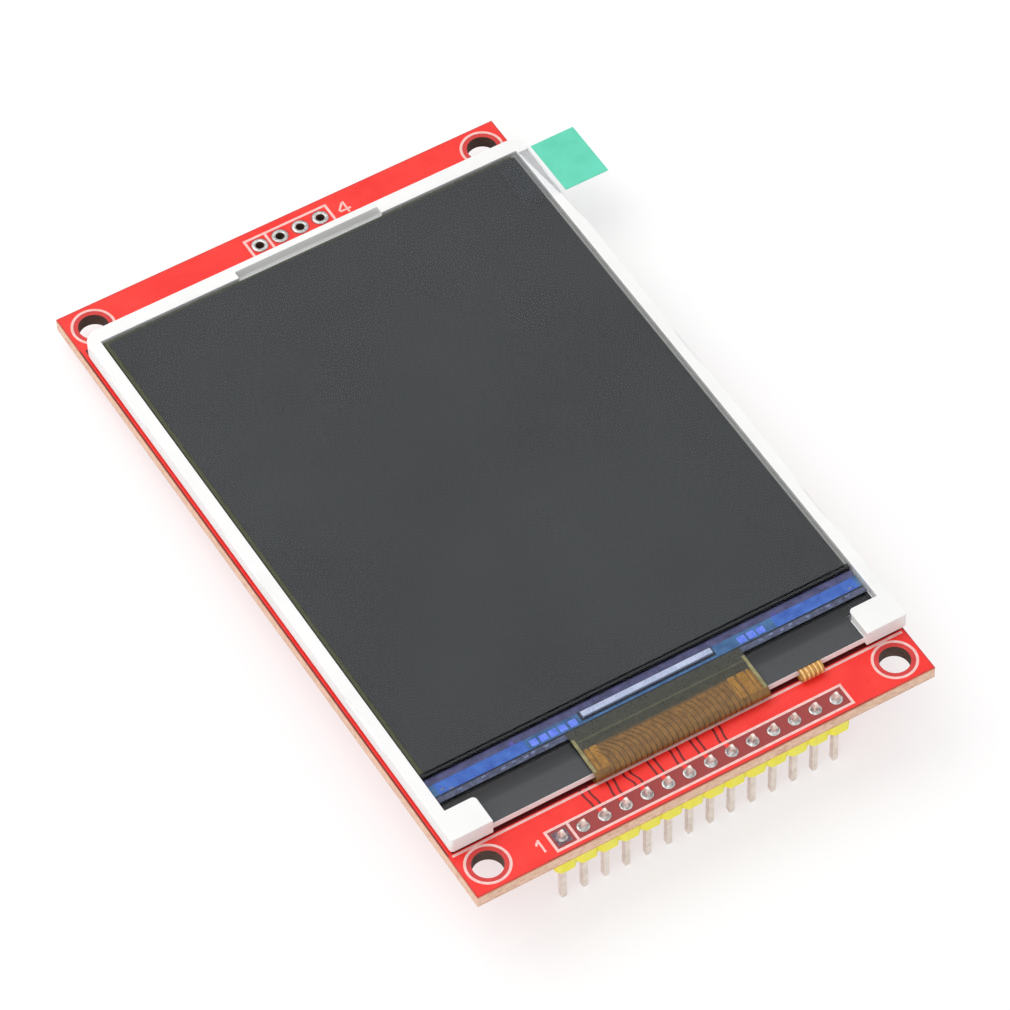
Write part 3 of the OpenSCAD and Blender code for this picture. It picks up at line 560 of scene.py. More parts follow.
def flexFinish(name, shares=None):
    # polyimide: dark over the glass, amber where the copper is closer under the skin
    material, tree, shader, place = startFinish(name, 0.3, 0.0, {"Specular IOR Level": 0.5})
    if shares:
        low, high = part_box("panel_flex")
        back = shareAlong(tree, axisOf(tree, place, "Y"), low.y, high.y)
        amber = mottled(tree, place, 0.8, tone(108, 76, 36), tone(142, 102, 48))
        olive = mottled(tree, place, 0.8, tone(46, 46, 36), tone(60, 60, 47))
        share = steps(tree, back, [(0.0, black), (shares["amberEnd"], black),
            (shares["oliveStart"], white)], hard=False)
        line = steps(tree, back, [(0.0, black), (shares["lineStart"], tone(120, 120, 100)),
            (shares["lineEnd"], black)])
        olive = mixTones(tree, line, olive, tone(110, 112, 88))
        setColour(tree, shader, mixTones(tree, share, amber, olive))
    else:
        setColour(tree, shader, mottled(tree, place, 0.8, tone(178, 122, 56), tone(206, 150, 78)))
    setGloss(tree, shader, grain(tree, place, 0.3), 0.22, 0.4)
    setBump(tree, shader, grain(tree, place, 0.4, 3.0), 0.2, 0.01)
    return material


def chipPartFinish(name, body, node, share=0.18):
    # ceramic middle with tinned ends, told apart by the distance from the middle of the row
    material, tree, shader, place = startFinish(name, 0.45)
    low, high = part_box(node)
    distance = fromMiddle(tree, axisOf(tree, place, "Y"), low.y, high.y)
    atEnd = reckon(tree, "GREATER_THAN", distance, (high.y - low.y) * (0.5 - share))
    cloud = grain(tree, place, 0.3)
    middle = mixTones(tree, scaled(tree, cloud, 0.0, 0.5), body, tone(90, 84, 80))
    tin = mixTones(tree, scaled(tree, cloud, 0.0, 1.0), tone(200, 202, 202), tone(236, 236, 234))
    setColour(tree, shader, mixTones(tree, atEnd, middle, tin))
    tree.links.new(reckon(tree, "MULTIPLY", atEnd, 0.9), shader.inputs["Metallic"])
    setBump(tree, shader, grain(tree, place, 0.12, 4.0), 0.3, 0.01)
    return material


# name, dark and light tone, roughness, then metal, colour grain, bump grain, bump depth and bump strength
plainFinishes = {
    "ink": ("boardInk", (240, 186, 180), (255, 212, 206), (0.5, 0.7), 0.0, 0.8, 0.1, 0.01, 0.5),
    "plastic": ("stripPlastic", (254, 244, 60), (255, 250, 104), (0.4, 0.55), 0.0, 2.0, 0.2),
    "pin": ("tinnedPin", (226, 212, 200), (246, 236, 228), (0.3, 0.45), 0.55, 0.9, 0.12, 0.008),
    "solder": ("frostedSolder", (150, 152, 150), (228, 230, 228), (0.25, 0.5), 0.75, 0.35, 0.14, 0.03, 0.6),
    "frame": ("whiteMoulding", (244, 244, 243), (250, 250, 249), (0.4, 0.5), 0.0, 6.0, 0.12, 0.004, 0.2),
    "reflector": ("reflectorFilm", (230, 232, 236), (246, 247, 249), (0.2, 0.3), 0.0, 4.0),
    "guide": ("lightGuide", (226, 234, 238), (240, 246, 248), (0.1, 0.2), 0.0, 2.0),
    "diffuser": ("diffuserFilm", (228, 228, 226), (242, 242, 240), (0.6, 0.75), 0.0, 2.0),
    "prism": ("prismFilm", (196, 204, 214), (222, 228, 236), (0.15, 0.3), 0.0, 2.0),
    "lamp": ("lampPackage", (240, 226, 130), (252, 244, 190), (0.35, 0.5), 0.0, 0.4),
    "lowerPolarizer": ("lowerPolarizer", (40, 43, 46), (52, 55, 58), (0.2, 0.3), 0.0, 4.0),
    "chip": ("polishedChip", (176, 186, 216), (204, 212, 238), (0.2, 0.35), 0.25, 1.5, 0.1, 0.004),
    "foamTape": ("mountingTape", (190, 186, 178), (214, 210, 202), (0.7, 0.85), 0.0, 0.6, 0.2, 0.05, 0.6),
    "tab": ("tealTab", (92, 208, 176), (104, 220, 190), (0.3, 0.4), 0.0, 2.5, 0.3, 0.01, 0.3),
    "socketPlastic": ("socketPlastic", (28, 28, 30), (42, 42, 45), (0.45, 0.6), 0.0, 2.0),
    "shell": ("pressedSteel", (199, 201, 203), (211, 213, 215), (0.24, 0.38), 0.9, 5.0, 0.3, 0.01),
    "contact": ("gildedContact", (212, 168, 86), (240, 204, 128), (0.2, 0.35), 0.95, 0.6),
    "package": ("mouldedPackage", (26, 26, 28), (40, 40, 42), (0.55, 0.7), 0.0, 0.5, 0.08, 0.01, 0.5),
    "leg": ("tinnedLeg", (190, 192, 192), (222, 224, 224), (0.3, 0.45), 0.9, 0.4),
    "trace": ("flexTrace", (56, 40, 22), (84, 62, 34), (0.3, 0.45), 0.2, 0.5),
    "gold": ("gildedPad", (224, 172, 98), (244, 204, 136), (0.25, 0.4), 0.25, 0.3, 0.1, 0.01),
    "cell": ("circuitCell", (84, 116, 238), (124, 152, 255), (0.2, 0.3), 0.1, 0.5, 0.2, 0.004),
    "violetCell": ("violetCell", (70, 64, 150), (96, 90, 190), (0.2, 0.3), 0.1, 0.5, 0.2, 0.004),
    "paleCell": ("paleCell", (92, 100, 140), (140, 150, 190), (0.2, 0.3), 0.1, 0.5, 0.2, 0.004),
    "amberBar": ("amberBar", (138, 96, 36), (172, 126, 56), (0.25, 0.4), 0.1, 0.6),
    # dark sheet round the driver chip: painted shadow of the chip on the ledge
    "chipShadow": ("chipSeal", (12, 20, 36), (24, 36, 58), (0.2, 0.35), 0.0, 0.5),
    "darkPad": ("firstPad", (92, 66, 80), (134, 112, 122), (0.3, 0.45), 0.5, 0.4),
    "crease": ("flexCrease", (72, 72, 54), (92, 92, 70), (0.35, 0.5), 0.0, 0.8),
    "flexEdge": ("flexEdge", (112, 108, 70), (168, 162, 112), (0.3, 0.45), 0.0, 0.8),
}
finishes = {key: simpleFinish(name, tone(*dark), tone(*light), *rest)
    for key, (name, dark, light, *rest) in plainFinishes.items()}
finishes.update({
    "board": boardFinish(boardShares, boardBands, boardGrains),
    "mask": maskFinish("maskOnCopper", tone(246, 44, 38), tone(253, 60, 52)),
    "tape": tapeFinish(),
    "tail": flexFinish("lampFlex"),
    "glass": glassFinish(ledgeShares, blueShares),
    "upperGlass": upperGlassFinish(upperGlassShares, screenLap),
    "screen": screenFinish(),
    "flex": flexFinish("panelFlex", flexShares),
    "film": clearFinish("clearFilm", (0.985, 0.99, 0.995, 1.0), 0.06),
    "resistor": chipPartFinish("chipResistor", tone(26, 26, 28), "resistor_01"),
    "capacitor": chipPartFinish("chipCapacitor", tone(164, 128, 96), "capacitor_01"),
})


cadFinishes = {
    "board": "board", "header_strip": "plastic", "header_solder": "solder", "lcd_frame": "frame",
    "reflector_sheet": "reflector", "light_guide": "guide", "diffuser_sheet": "diffuser",
    "prism_sheet_lower": "prism", "prism_sheet_upper": "prism",
    "rim_tape": "tape", "backlight_flex": "tail",
    "lower_polarizer": "lowerPolarizer", "array_glass": "glass", "filter_glass": "upperGlass",
    "upper_polarizer": "screen", "driver_chip": "chip", "panel_flex": "flex", "flex_solder": "solder",
    "mounting_tape_left": "foamTape", "mounting_tape_right": "foamTape", "protective_film": "film",
    "tab_carrier": "film", "pull_tab": "tab",
    "card_socket_base": "socketPlastic", "card_socket_shell": "shell",
    "card_contacts": "contact", "regulator_body": "package", "regulator_legs": "leg",
    "transistor_body": "package", "transistor_legs": "leg",
}
numberedFinishes = {"header_pin_": "pin", "led_": "lamp", "resistor_": "resistor",
    "capacitor_": "capacitor"}


def dressNodes():
    for piece in list(bpy.data.objects):
        if piece.type != "MESH" or piece.name == "floor":
            continue
        key = cadFinishes.get(piece.name)
        for stem, finish in numberedFinishes.items():
            if piece.name.startswith(stem):
                key = finish
        for slot in piece.material_slots:
            slot.material = finishes[key]


dressNodes()
print("CAD nodes dressed")


# printed and plated faces of the board, in millimetres from its left front corner

boardFace = {"margin": 0.15, "copperHeight": 0.02, "inkHeight": 0.035, "inkWidth": 0.3, "digitWidth": 0.24,
    "holeInset": 3.0, "ringRadius": 2.35, "traceWidth": 0.5, "traceGap": 0.27, "traceBend": (3.9, 5.0),
    "traceEnd": 5.95, "underFrame": 0.2, "rightStrip": 0.4, "cardPadGap": 1.12, "cardHoleInset": 2.37,
    "cardHoleShift": 0.36, "firstPinLine": 12.4, "firstCardLine": 25.3, "frameLine": 5.65,
    "frameLineInset": 0.4, "partLine": 0.15, "partRoom": 0.5, "landRoom": 0.15, "landShare": 0.34}
headerBox = (9.86, 0.65, 45.4, 3.25)
cardBox = (22.8, 85.66, 33.0, 88.2)
traceShifts = {3: -0.18, 4: 0.18, 5: -0.41, 6: -0.04, 7: 0.13, 8: 0.0, 9: 0.21}
digitStrokes = {
    "inkOne": [((8.75, 1.2), (8.75, 2.9)), ((8.28, 2.3), (8.6, 2.7))],
    "inkFour": [((34.9, 86.0), (34.9, 87.7)), ((34.75, 87.55), (33.95, 86.62)),
        ((34.0, 86.5), (34.75, 86.5)), ((35.05, 86.5), (35.35, 86.5))],
}
pinCount = sum(1 for item in bpy.data.objects if item.name.startswith("header_pin_"))
pinPlaces = []
for number in range(1, pinCount + 1):
    pinLow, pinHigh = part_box(f"header_pin_{number:02d}")
    pinPlaces.append((pinLow + pinHigh) / 2)
pinPitch = (pinPlaces[-1].x - pinPlaces[0].x) / (pinCount - 1) / mm
firstPin = (pinPlaces[0].x - boardLow.x) / mm
pinRow = (pinPlaces[0].y - boardLow.y) / mm
boardWidth = (boardHigh.x - boardLow.x) / mm
boardLength = (boardHigh.y - boardLow.y) / mm
cardHoles = [(boardWidth / 2 + boardFace["cardHoleShift"] + (index - 1.5) * pinPitch,
    boardLength - boardFace["cardHoleInset"]) for index in range(4)]


def cornerHoles(sizes):
    near = sizes["holeInset"]
    return [(x, y) for x in (near, boardWidth - near) for y in (near, boardLength - near)]


def tracePath(number, sizes):
    start = firstPin + (number - 1) * pinPitch
    end = start + traceShifts[number]
    bendStart, bendEnd = sizes["traceBend"]
    return [(start, headerBox[3]), (start, bendStart), (end, bendEnd), (end, sizes["traceEnd"])]


def makeFlat(name, outlines, low, high, finish):
    addPiece(name, flatShape(name, outlines, low, high), finishes[finish])


def pourOutlines(sizes):
    # edge of the copper field, then the holes that every face leaves in it
    edge = sizes["margin"]
    ring = sizes["ringRadius"] - sizes["inkWidth"] / 2
    outlines = [squareOutline(edge, edge, boardWidth - edge, boardLength - edge)]
    outlines += [roundOutline(x, y, ring) for x, y in cornerHoles(sizes)]
    return outlines + [roundOutline(x, y, sizes["cardPadGap"]) for x, y in cardHoles]


def makeCopper(sizes):
    # copper field round the display frame, its islands between the tracks, and the tracks
    x0, y0, x1, y1 = headerBox
    end = sizes["traceEnd"]
    frameLow, frameHigh = (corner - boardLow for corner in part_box("lcd_frame"))
    left = frameLow.x / mm + sizes["underFrame"]
    right = min(frameHigh.x / mm, boardWidth) - sizes["rightStrip"]
    rear = frameHigh.y / mm - sizes["underFrame"]
    field = [(x0, y0), (x1, y0), (x1, end), (right, end),
        (right, rear), (left, rear), (left, end), (x0, end)]
    outlines = pourOutlines(sizes)
    outlines.insert(1, [boardPoint(x, y) for x, y in field])
    half = sizes["traceWidth"] / 2
    walls = [[(x0, y1), (x0, end)]]
    strips = []
    for number in sorted(traceShifts):
        path = tracePath(number, sizes)
        for side in (-half - sizes["traceGap"], half + sizes["traceGap"]):
            walls.append([(x + side, y) for x, y in path])
        path[0] = (path[0][0], pinRow)
        before = [boardPoint(x - half, y) for x, y in path]
        after = [boardPoint(x + half, y) for x, y in path]
        strips.append(before + after[::-1])
    walls.append([(x1, y1), (x1, end)])
    islands = []
    for before, after in zip(walls[::2], walls[1::2]):
        islands.append([boardPoint(x, y) for x, y in before + after[::-1]])
    top = boardHigh.z
    high = top + sizes["copperHeight"] * mm
    for name, shapes in (("copperTop", outlines), ("copperIslands", islands), ("copperTraces", strips)):
        makeFlat(name, shapes, top, high, "mask")


def lineOutline(points, width):
    # a printed line of even width along an open path
    half = width / 2
    left = []
    right = []
    for index, point in enumerate(points):
        before = points[max(index - 1, 0)]
        after = points[min(index + 1, len(points) - 1)]
        turn = atan2(after[1] - before[1], after[0] - before[0])
        side = (-sin(turn) * half, cos(turn) * half)
        left.append(boardPoint(point[0] + side[0], point[1] + side[1]))
        right.append(boardPoint(point[0] - side[0], point[1] - side[1]))
    return left + right[::-1]


def frameOutlines(box, width):
    x0, y0, x1, y1 = box
    half = width / 2
    return [squareOutline(x0 - half, y0 - half, x1 + half, y1 + half),
        squareOutline(x0 + half, y0 + half, x1 - half, y1 - half)]


def ringOutlines(x, y, sizes):
    half = sizes["inkWidth"] / 2
    return [roundOutline(x, y, sizes["ringRadius"] + half), roundOutline(x, y, sizes["ringRadius"] - half)]


def makeInk(sizes, strokes):
    width = sizes["inkWidth"]
    half = width / 2
    inset = sizes["frameLineInset"]
    shapes = {"inkHeader": frameOutlines(headerBox, width), "inkCard": frameOutlines(cardBox, width)}
    for index, (x, y) in enumerate(cornerHoles(sizes)):
        shapes[f"inkRing_{index + 1}"] = ringOutlines(x, y, sizes)
    lines = [((x, box[1] + half), (x, box[3] - half))
        for x, box in ((sizes["firstPinLine"], headerBox), (sizes["firstCardLine"], cardBox))]
    lines.append(((inset, sizes["frameLine"]), (boardWidth - inset, sizes["frameLine"])))
    shapes["inkLines"] = [lineOutline(line, width) for line in lines]
    for name, lines in strokes.items():
        shapes[name] = [lineOutline(line, sizes["digitWidth"]) for line in lines]
    top = boardHigh.z
    for name, outlines in shapes.items():
        makeFlat(name, outlines, top, top + sizes["inkHeight"] * mm, "ink")


def grownBox(node, room):
    # outline of a node's box seen from above, with this much room round it
    low, high = (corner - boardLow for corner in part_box(node))
    return (low.x / mm - room, low.y / mm - room, high.x / mm + room, high.y / mm + room)


def makeUnderside(sizes):
    # copper field, tinned lands and outlines of the parts on the lower face
    top = boardLow.z
    low = top - sizes["copperHeight"] * mm
    line = sizes["partLine"]
    room = sizes["partRoom"]
    parts = [item.name for item in bpy.data.objects if item.name.startswith(("resistor_", "capacitor_"))]
    gaps = [squareOutline(*grownBox(name, room - line)) for name in parts]
    makeFlat("copperBelow", pourOutlines(sizes) + gaps, low, top, "mask")
    lands = []
    for name in parts:
        x0, y0, x1, y1 = grownBox(name, sizes["landRoom"])
        reach = (y1 - y0) * sizes["landShare"]
        lands += [squareOutline(x0, y0, x1, y0 + reach), squareOutline(x0, y1 - reach, x1, y1)]
    makeFlat("partLands", lands, low, top, "solder")
    low = top - sizes["inkHeight"] * mm
    for name in parts + ["regulator_body", "transistor_body"]:
        makeFlat("inkBelow_" + name, frameOutlines(grownBox(name, room), line), low, top, "ink")
    for index, (x, y) in enumerate(cornerHoles(sizes)):
        makeFlat(f"inkBelowRing_{index + 1}", ringOutlines(x, y, sizes), low, top, "ink")


makeCopper(boardFace)
makeInk(boardFace, digitStrokes)
makeUnderside(boardFace)
print("board faces made")


# display frame and header strip with their edges broken

mouldings = {
    "frameMoulding": {"node": "lcd_frame", "edge": 0.1, "finish": "frame", "slot": "frame_plastic"},
    "pinStrip": {"node": "header_strip", "edge": 0.08, "finish": "plastic", "slot": "header_plastic"},
}
for name, sizes in mouldings.items():
    mesh = softened(sizes["node"], name, sizes["edge"])
    addPiece(name, mesh, finishes[sizes["finish"]], (sizes["node"],))
print("mouldings made")


# solder on the pin row

solderSizes = {"Foot": 0.62 * mm, "Neck": 0.3 * mm, "Height": 0.94 * mm, "Lumps": 0.07 * mm, "Seed": 4}
solderForm = {"rings": 12, "sides": 28, "flare": 2.4, "tipRounding": 6.0, "narrowest": 0.45,
    "lumpScale": 1300.0, "smallest": 0.9, "largest": 1.06, "sunk": 0.02}


def solderTree(sizes, form):
    # a cone that is hollowed towards its foot, one for each place, every one lumped differently
    tree, given = startTree("solderCones", sizes)
    tip = addNode(tree, "ShaderNodeCombineXYZ", {"Z": given["Height"]}).outputs[0]
    line = addNode(tree, "GeometryNodeCurvePrimitiveLine", {"End": tip}).outputs[0]
    fine = addNode(tree, "GeometryNodeResampleCurve", {"Curve": line, "Count": form["rings"]}).outputs[0]
    left = reckon(tree, "SUBTRACT", 1.0, addNode(tree, "GeometryNodeSplineParameter").outputs["Factor"])
    flare = reckon(tree, "POWER", left, form["flare"])
    width = reckon(tree, "SUBTRACT", given["Foot"], given["Neck"])
    nearTip = reckon(tree, "MINIMUM", reckon(tree, "MULTIPLY", left, form["tipRounding"]), 1.0)
    rounded = reckon(tree, "MAXIMUM", reckon(tree, "POWER", nearTip, 0.5), form["narrowest"])
    side = reckon(tree, "ADD", reckon(tree, "MULTIPLY", flare, width), given["Neck"])
    radius = reckon(tree, "MULTIPLY", side, rounded)
    circle = addNode(tree, "GeometryNodeCurvePrimitiveCircle", {"Resolution": form["sides"], "Radius": 1.0})
    cone = addNode(tree, "GeometryNodeCurveToMesh", {"Curve": fine, "Profile Curve": circle.outputs[0],
        "Scale": radius, "Fill Caps": True}).outputs[0]
    size = addNode(tree, "FunctionNodeRandomValue", {2: form["smallest"], 3: form["largest"],
        "Seed": given["Seed"]}).outputs[1]
    placed = addNode(tree, "GeometryNodeInstanceOnPoints", {"Points": given["Places"], "Instance": cone,
        "Scale": size}).outputs[0]
    real = addNode(tree, "GeometryNodeRealizeInstances", {"Geometry": placed}).outputs[0]
    noise = addNode(tree, "ShaderNodeTexNoise", {"Scale": form["lumpScale"], "Detail": 2.0})
    centred = addNode(tree, "ShaderNodeVectorMath", {0: noise.outputs["Color"], 1: (0.5, 0.5, 0.5)},
        operation="SUBTRACT")
    reach = reckon(tree, "MULTIPLY", given["Lumps"], 4.0)
    push = addNode(tree, "ShaderNodeVectorMath", {0: centred.outputs[0], "Scale": reach}, operation="SCALE")
    lumped = addNode(tree, "GeometryNodeSetPosition", {"Geometry": real, "Offset": push.outputs["Vector"]})
    endTree(tree, given, lumped.outputs[0])
    return tree


solderPlaces = [Vector((place.x, place.y, boardHigh.z - solderForm["sunk"] * mm)) for place in pinPlaces]
growPiece("pinSolder", solderTree(solderSizes, solderForm), solderPlaces, [], solderSizes,
    finishes["solder"], ("header_solder",))


# tinned rings round the free holes and under the pin row

ringSizes = {"Inner": 0.5 * mm, "Outer": 0.92 * mm, "Height": 0.05 * mm}
pinRingSizes = {"Inner": 0.45 * mm, "Outer": 0.7 * mm, "Height": 0.05 * mm}
padLifts = {"card": 0.02, "pins": 0.01}
firstPadSizes = {"half": 0.85, "height": 0.025}


def ringTree(sizes):
    tree, given = startTree("tinnedRings", sizes)
    middle = reckon(tree, "MULTIPLY", reckon(tree, "ADD", given["Inner"], given["Outer"]), 0.5)
    width = reckon(tree, "SUBTRACT", given["Outer"], given["Inner"])
    circle = addNode(tree, "GeometryNodeCurvePrimitiveCircle", {"Resolution": 40, "Radius": middle})
    bar = addNode(tree, "GeometryNodeCurvePrimitiveQuadrilateral", {"Width": width,
        "Height": given["Height"]})
    ring = addNode(tree, "GeometryNodeCurveToMesh", {"Curve": circle.outputs[0],
        "Profile Curve": bar.outputs[0]})
    placed = addNode(tree, "GeometryNodeInstanceOnPoints", {"Points": given["Places"],
        "Instance": ring.outputs[0]})
    endTree(tree, given, placed.outputs[0], False)
    return tree


ringNodes = ringTree(ringSizes)
cardPlaces = [boardPoint(x, y, padLifts["card"]) for x, y in cardHoles]
growPiece("cardPads", ringNodes, cardPlaces, [], ringSizes, finishes["solder"])
roundPins = [boardPoint((place.x - boardLow.x) / mm, pinRow, padLifts["pins"]) for place in pinPlaces[1:]]
growPiece("pinPads", ringNodes, roundPins, [], pinRingSizes, finishes["solder"])
half = firstPadSizes["half"]
firstOutline = squareOutline(firstPin - half, pinRow - half, firstPin + half, pinRow + half)
firstPad = flatShape("firstPad", [firstOutline], boardHigh.z, boardHigh.z + firstPadSizes["height"] * mm)
addPiece("firstPad", firstPad, finishes["darkPad"])
print("pads and solder made")


# marks of the circuits on the glass ledge, and a painted shadow round the chip

cellSizes = {"Size": (0.95 * mm, 0.9 * mm, 0.012 * mm), "Seed": 2}
dotSizes = {"Size": (0.5 * mm, 0.45 * mm, 0.012 * mm), "Seed": 2}
markSizes = {"Size": (0.5 * mm, 0.22 * mm, 0.012 * mm), "Seed": 5}
ledgePlaces = {
    "cells": [(x, 12.5) for x in (14.2, 15.35, 16.5, 17.65, 18.85, 39.3, 40.45, 41.6)],
    "dots": [(12.1, 13.5), (43.8, 13.5)],
    "marks": [(4.1, 12.0), (4.7, 11.45), (3.3, 12.35), (7.6, 11.5), (9.9, 11.35), (11.2, 11.5),
        (12.6, 11.35), (13.4, 11.5), (15.1, 11.45), (40.9, 11.4), (42.2, 11.5), (43.5, 11.35),
        (44.6, 11.5), (46.8, 11.4), (49.2, 11.45), (51.6, 11.5), (52.4, 12.2)],
}
ledgeLift = 0.004
chipShadowSizes = {"room": 0.28, "height": 0.01}


def cellTree(sizes):
    # thin plates of nearly the same size, one for each place
    tree, given = startTree("ledgeCells", sizes)
    plate = addNode(tree, "GeometryNodeMeshCube", {"Size": given["Size"]}).outputs[0]
    size = addNode(tree, "FunctionNodeRandomValue", {2: 0.86, 3: 1.04, "Seed": given["Seed"]}).outputs[1]
    placed = addNode(tree, "GeometryNodeInstanceOnPoints", {"Points": given["Places"], "Instance": plate,
        "Scale": size}).outputs[0]
    endTree(tree, given, placed, False)
    return tree


def onLedge(x, y):
    point = boardPoint(x, y)
    point.z = glassHigh.z + ledgeLift * mm
    return point


# dark sheet just round the driver chip that stands in for its shadow: painted shadow
chipShadowOutline = squareOutline(*grownBox("driver_chip", chipShadowSizes["room"]))
chipShadowMesh = flatShape("chipSeal", [chipShadowOutline], glassHigh.z, glassHigh.z + chipShadowSizes["height"] * mm)
addPiece("chipSeal", chipShadowMesh, finishes["chipShadow"])
cellNodes = cellTree(cellSizes)
for name, key, sizes, finish in (("ledgeCells", "cells", cellSizes, "cell"),
        ("ledgeDots", "dots", dotSizes, "violetCell"), ("ledgeMarks", "marks", markSizes, "paleCell")):
    places = [onLedge(x, y) for x, y in ledgePlaces[key]]
    growPiece(name, cellNodes, places, [], sizes, finishes[finish])
print("ledge marked")


# flexible circuits: traces, bars and bare edges that follow the fold

panelFold = {"thickness": 0.1, "bond": 0.65, "easeRadius": 2.0, "slope": 3.0, "end": 4.8}
tailFold = {"thickness": 0.1, "bond": 0.2, "easeRadius": 2.0, "slope": 0.0, "end": 4.2, "start": 2.0}
panelTraces = {"count": 27, "margin": 2.3, "from": 2.9, "to": 9.6, "slant": 1.1, "slantLength": 1.9,
    "lean": 0.7, "lateEvery": 5, "late": 0.4, "depth": 0.055, "radius": 0.075}
tailTraces = {"count": 5, "margin": 0.3, "from": 0.4, "to": 7.0, "slant": 0.0, "slantLength": 1.9,
    "lean": 0.7, "lateEvery": 5, "late": 0.4, "depth": 0.11, "radius": 0.15}
tailSizes = {"fromMiddle": 15.65, "width": 2.7}


def foldPath(low, high, sizes, spacing=0.15):
    # outer face of a folded circuit as distances with their Y, Z and tilt, from its bond onwards
    thick = sizes["thickness"] * mm
    ease = sizes["easeRadius"] * mm - thick / 2
    slope = radians(sizes["slope"])
    bond = sizes["bond"] * mm
    start = high.y if "start" not in sizes else low.y + sizes["start"] * mm
    drop = high.z - thick - low.z - ease * (1 - cos(slope)) - thick
    reach = start - low.y - bond - ease * sin(slope) - thick
    share = (1 - sin(slope)) / (1 + cos(slope))
    run = (reach - share * drop) / (cos(slope) - share * sin(slope))
    bend = (drop - run * sin(slope)) / (1 + cos(slope)) + thick / 2
    # length or radius, turn, and whether the stretch is bent
    stretches = [(bond, 0.0, False), (ease + thick / 2, -slope, True), (run, 0.0, False),
        (bend, slope - pi, True), (sizes["end"] * mm, 0.0, False)]
    place = Vector((start, high.z - thick / 2))
    heading = 0.0
    gone = 0.0
    path = []

    def addStation():
        back = place.x - sin(heading) * thick / 2
        up = place.y + cos(heading) * thick / 2
        path.append((gone, back, up, heading))

    for size, turn, bent in stretches:
        length = abs(turn) * size if bent else size
        count = max(1, ceil(length / (spacing * mm)))
        stride = length / count
        for step in range(count):
            addStation()
            middle = heading + turn / count / 2
            place = Vector((place.x - cos(middle) * stride, place.y + sin(middle) * stride))
            heading += turn / count
            gone += stride
    addStation()
    return path


def beadTree(sizes):
    # a half-sunk bead along each path
    tree, given = startTree("flexBeads", sizes)
    line = addNode(tree, "GeometryNodeMeshToCurve", {"Mesh": given["Places"]})
    circle = addNode(tree, "GeometryNodeCurvePrimitiveCircle", {"Resolution": 8, "Radius": given["Radius"]})
    bead = addNode(tree, "GeometryNodeCurveToMesh", {"Curve": line.outputs[0],
        "Profile Curve": circle.outputs[0], "Fill Caps": True})
    endTree(tree, given, bead.outputs[0])
    return tree


def tracePaths(path, low, high, layout):
    # side by side along the circuit, slanting before the fold and straight after it
    points = []
    edges = []
    middle = (low.x + high.x) / 2
    width = high.x - low.x - 2 * layout["margin"] * mm
    first = layout["from"] * mm
    shown = [item for item in path if first <= item[0] <= layout["to"] * mm]
    for number in range(layout["count"]):
        share = number / (layout["count"] - 1) - 0.5
        late = 0.0 if number % layout["lateEvery"] else layout["late"] * mm
        before = None
        for gone, back, up, heading in shown:
            if gone < first + late:
                continue
            passed = min((gone - first) / (layout["slantLength"] * mm), 1.0)
            slant = layout["slant"] * mm * (1 - passed) ** 2 * (layout["lean"] - share)
            depth = layout["depth"] * mm
            x = middle + share * width - slant
            points.append(Vector((x, back + sin(heading) * depth, up - cos(heading) * depth)))
            if before is not None:
                edges.append((before, len(points) - 1))
            before = len(points) - 1
    return points, edges


def growTraces(name, path, low, high, layout, finish):
    points, edges = tracePaths(path, low, high, layout)
    sizes = {"Radius": layout["radius"] * mm}
    growPiece(name, beadNodes, points, edges, sizes, finishes[finish])


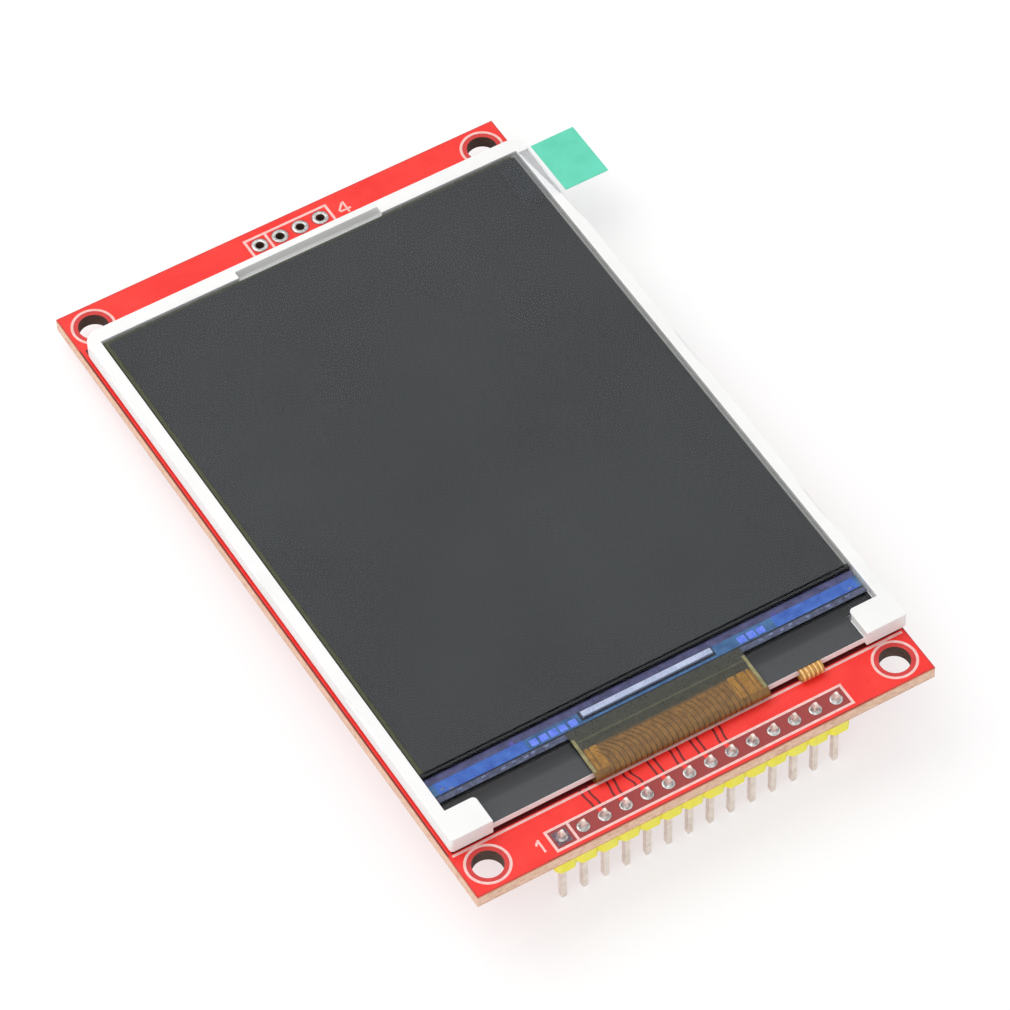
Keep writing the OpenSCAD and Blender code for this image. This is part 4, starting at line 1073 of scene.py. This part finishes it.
def foldStrip(name, path, middle, span, sizes):
    # thin band laid on the outer face of a folded circuit
    sunk = -0.01
    x0, x1 = (middle + side * mm for side in span)
    section = ((x0, sunk), (x0, sizes["height"]), (x1, sizes["height"]), (x1, sunk))
    work = bmesh.new()
    rows = []
    for gone, back, up, heading in path:
        if not sizes["from"] * mm <= gone <= sizes["to"] * mm:
            continue
        row = []
        for x, lift in section:
            y = back - sin(heading) * lift * mm
            row.append(work.verts.new((x, y, up + cos(heading) * lift * mm)))
        rows.append(row)
    for before, after in zip(rows, rows[1:]):
        for corner in range(4):
            following = (corner + 1) % 4
            work.faces.new((before[corner], before[following], after[following], after[corner]))
    work.faces.new(rows[0])
    work.faces.new(rows[-1][::-1])
    bmesh.ops.recalc_face_normals(work, faces=work.faces)
    mesh = bpy.data.meshes.new(name)
    work.to_mesh(mesh)
    work.free()
    addPiece(name, mesh, finishes[sizes["finish"]])


beadNodes = beadTree({"Radius": panelTraces["radius"] * mm})
flexLow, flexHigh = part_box("panel_flex")
flexPath = foldPath(flexLow, flexHigh, panelFold)
growTraces("flexTraces", flexPath, flexLow, flexHigh, panelTraces, "trace")
half = (flexHigh.x - flexLow.x) / 2 / mm
flexStrips = {
    "flexBar": {"spans": ((-9.9, -9.55), (-9.3, -8.5), (7.3, 8.1), (8.4, 9.3), (9.5, 9.8)),
        "from": 2.6, "to": 9.6, "height": 0.006, "finish": "amberBar"},
    "flexEdge": {"spans": ((0.02 - half, 0.38 - half), (half - 0.38, half - 0.02)),
        "from": 1.0, "to": 9.6, "height": 0.008, "finish": "flexEdge"},
    "flexCrease": {"spans": ((0.5 - half, half - 0.5),), "from": 1.4, "to": 1.75, "height": 0.006,
        "finish": "crease"},
}
for stem, sizes in flexStrips.items():
    for number, span in enumerate(sizes["spans"], 1):
        name = f"{stem}_{number}" if len(sizes["spans"]) > 1 else stem
        foldStrip(name, flexPath, (flexLow.x + flexHigh.x) / 2, span, sizes)
frameLow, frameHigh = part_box("lcd_frame")
tailLow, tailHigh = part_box("backlight_flex")
tailMiddle = (frameLow.x + frameHigh.x) / 2 + tailSizes["fromMiddle"] * mm
tailLow.x = tailMiddle - tailSizes["width"] / 2 * mm
tailHigh.x = tailMiddle + tailSizes["width"] / 2 * mm
tailPath = foldPath(tailLow, tailHigh, tailFold)
growTraces("tailTraces", tailPath, tailLow, tailHigh, tailTraces, "gold")
print("flexible circuits detailed")
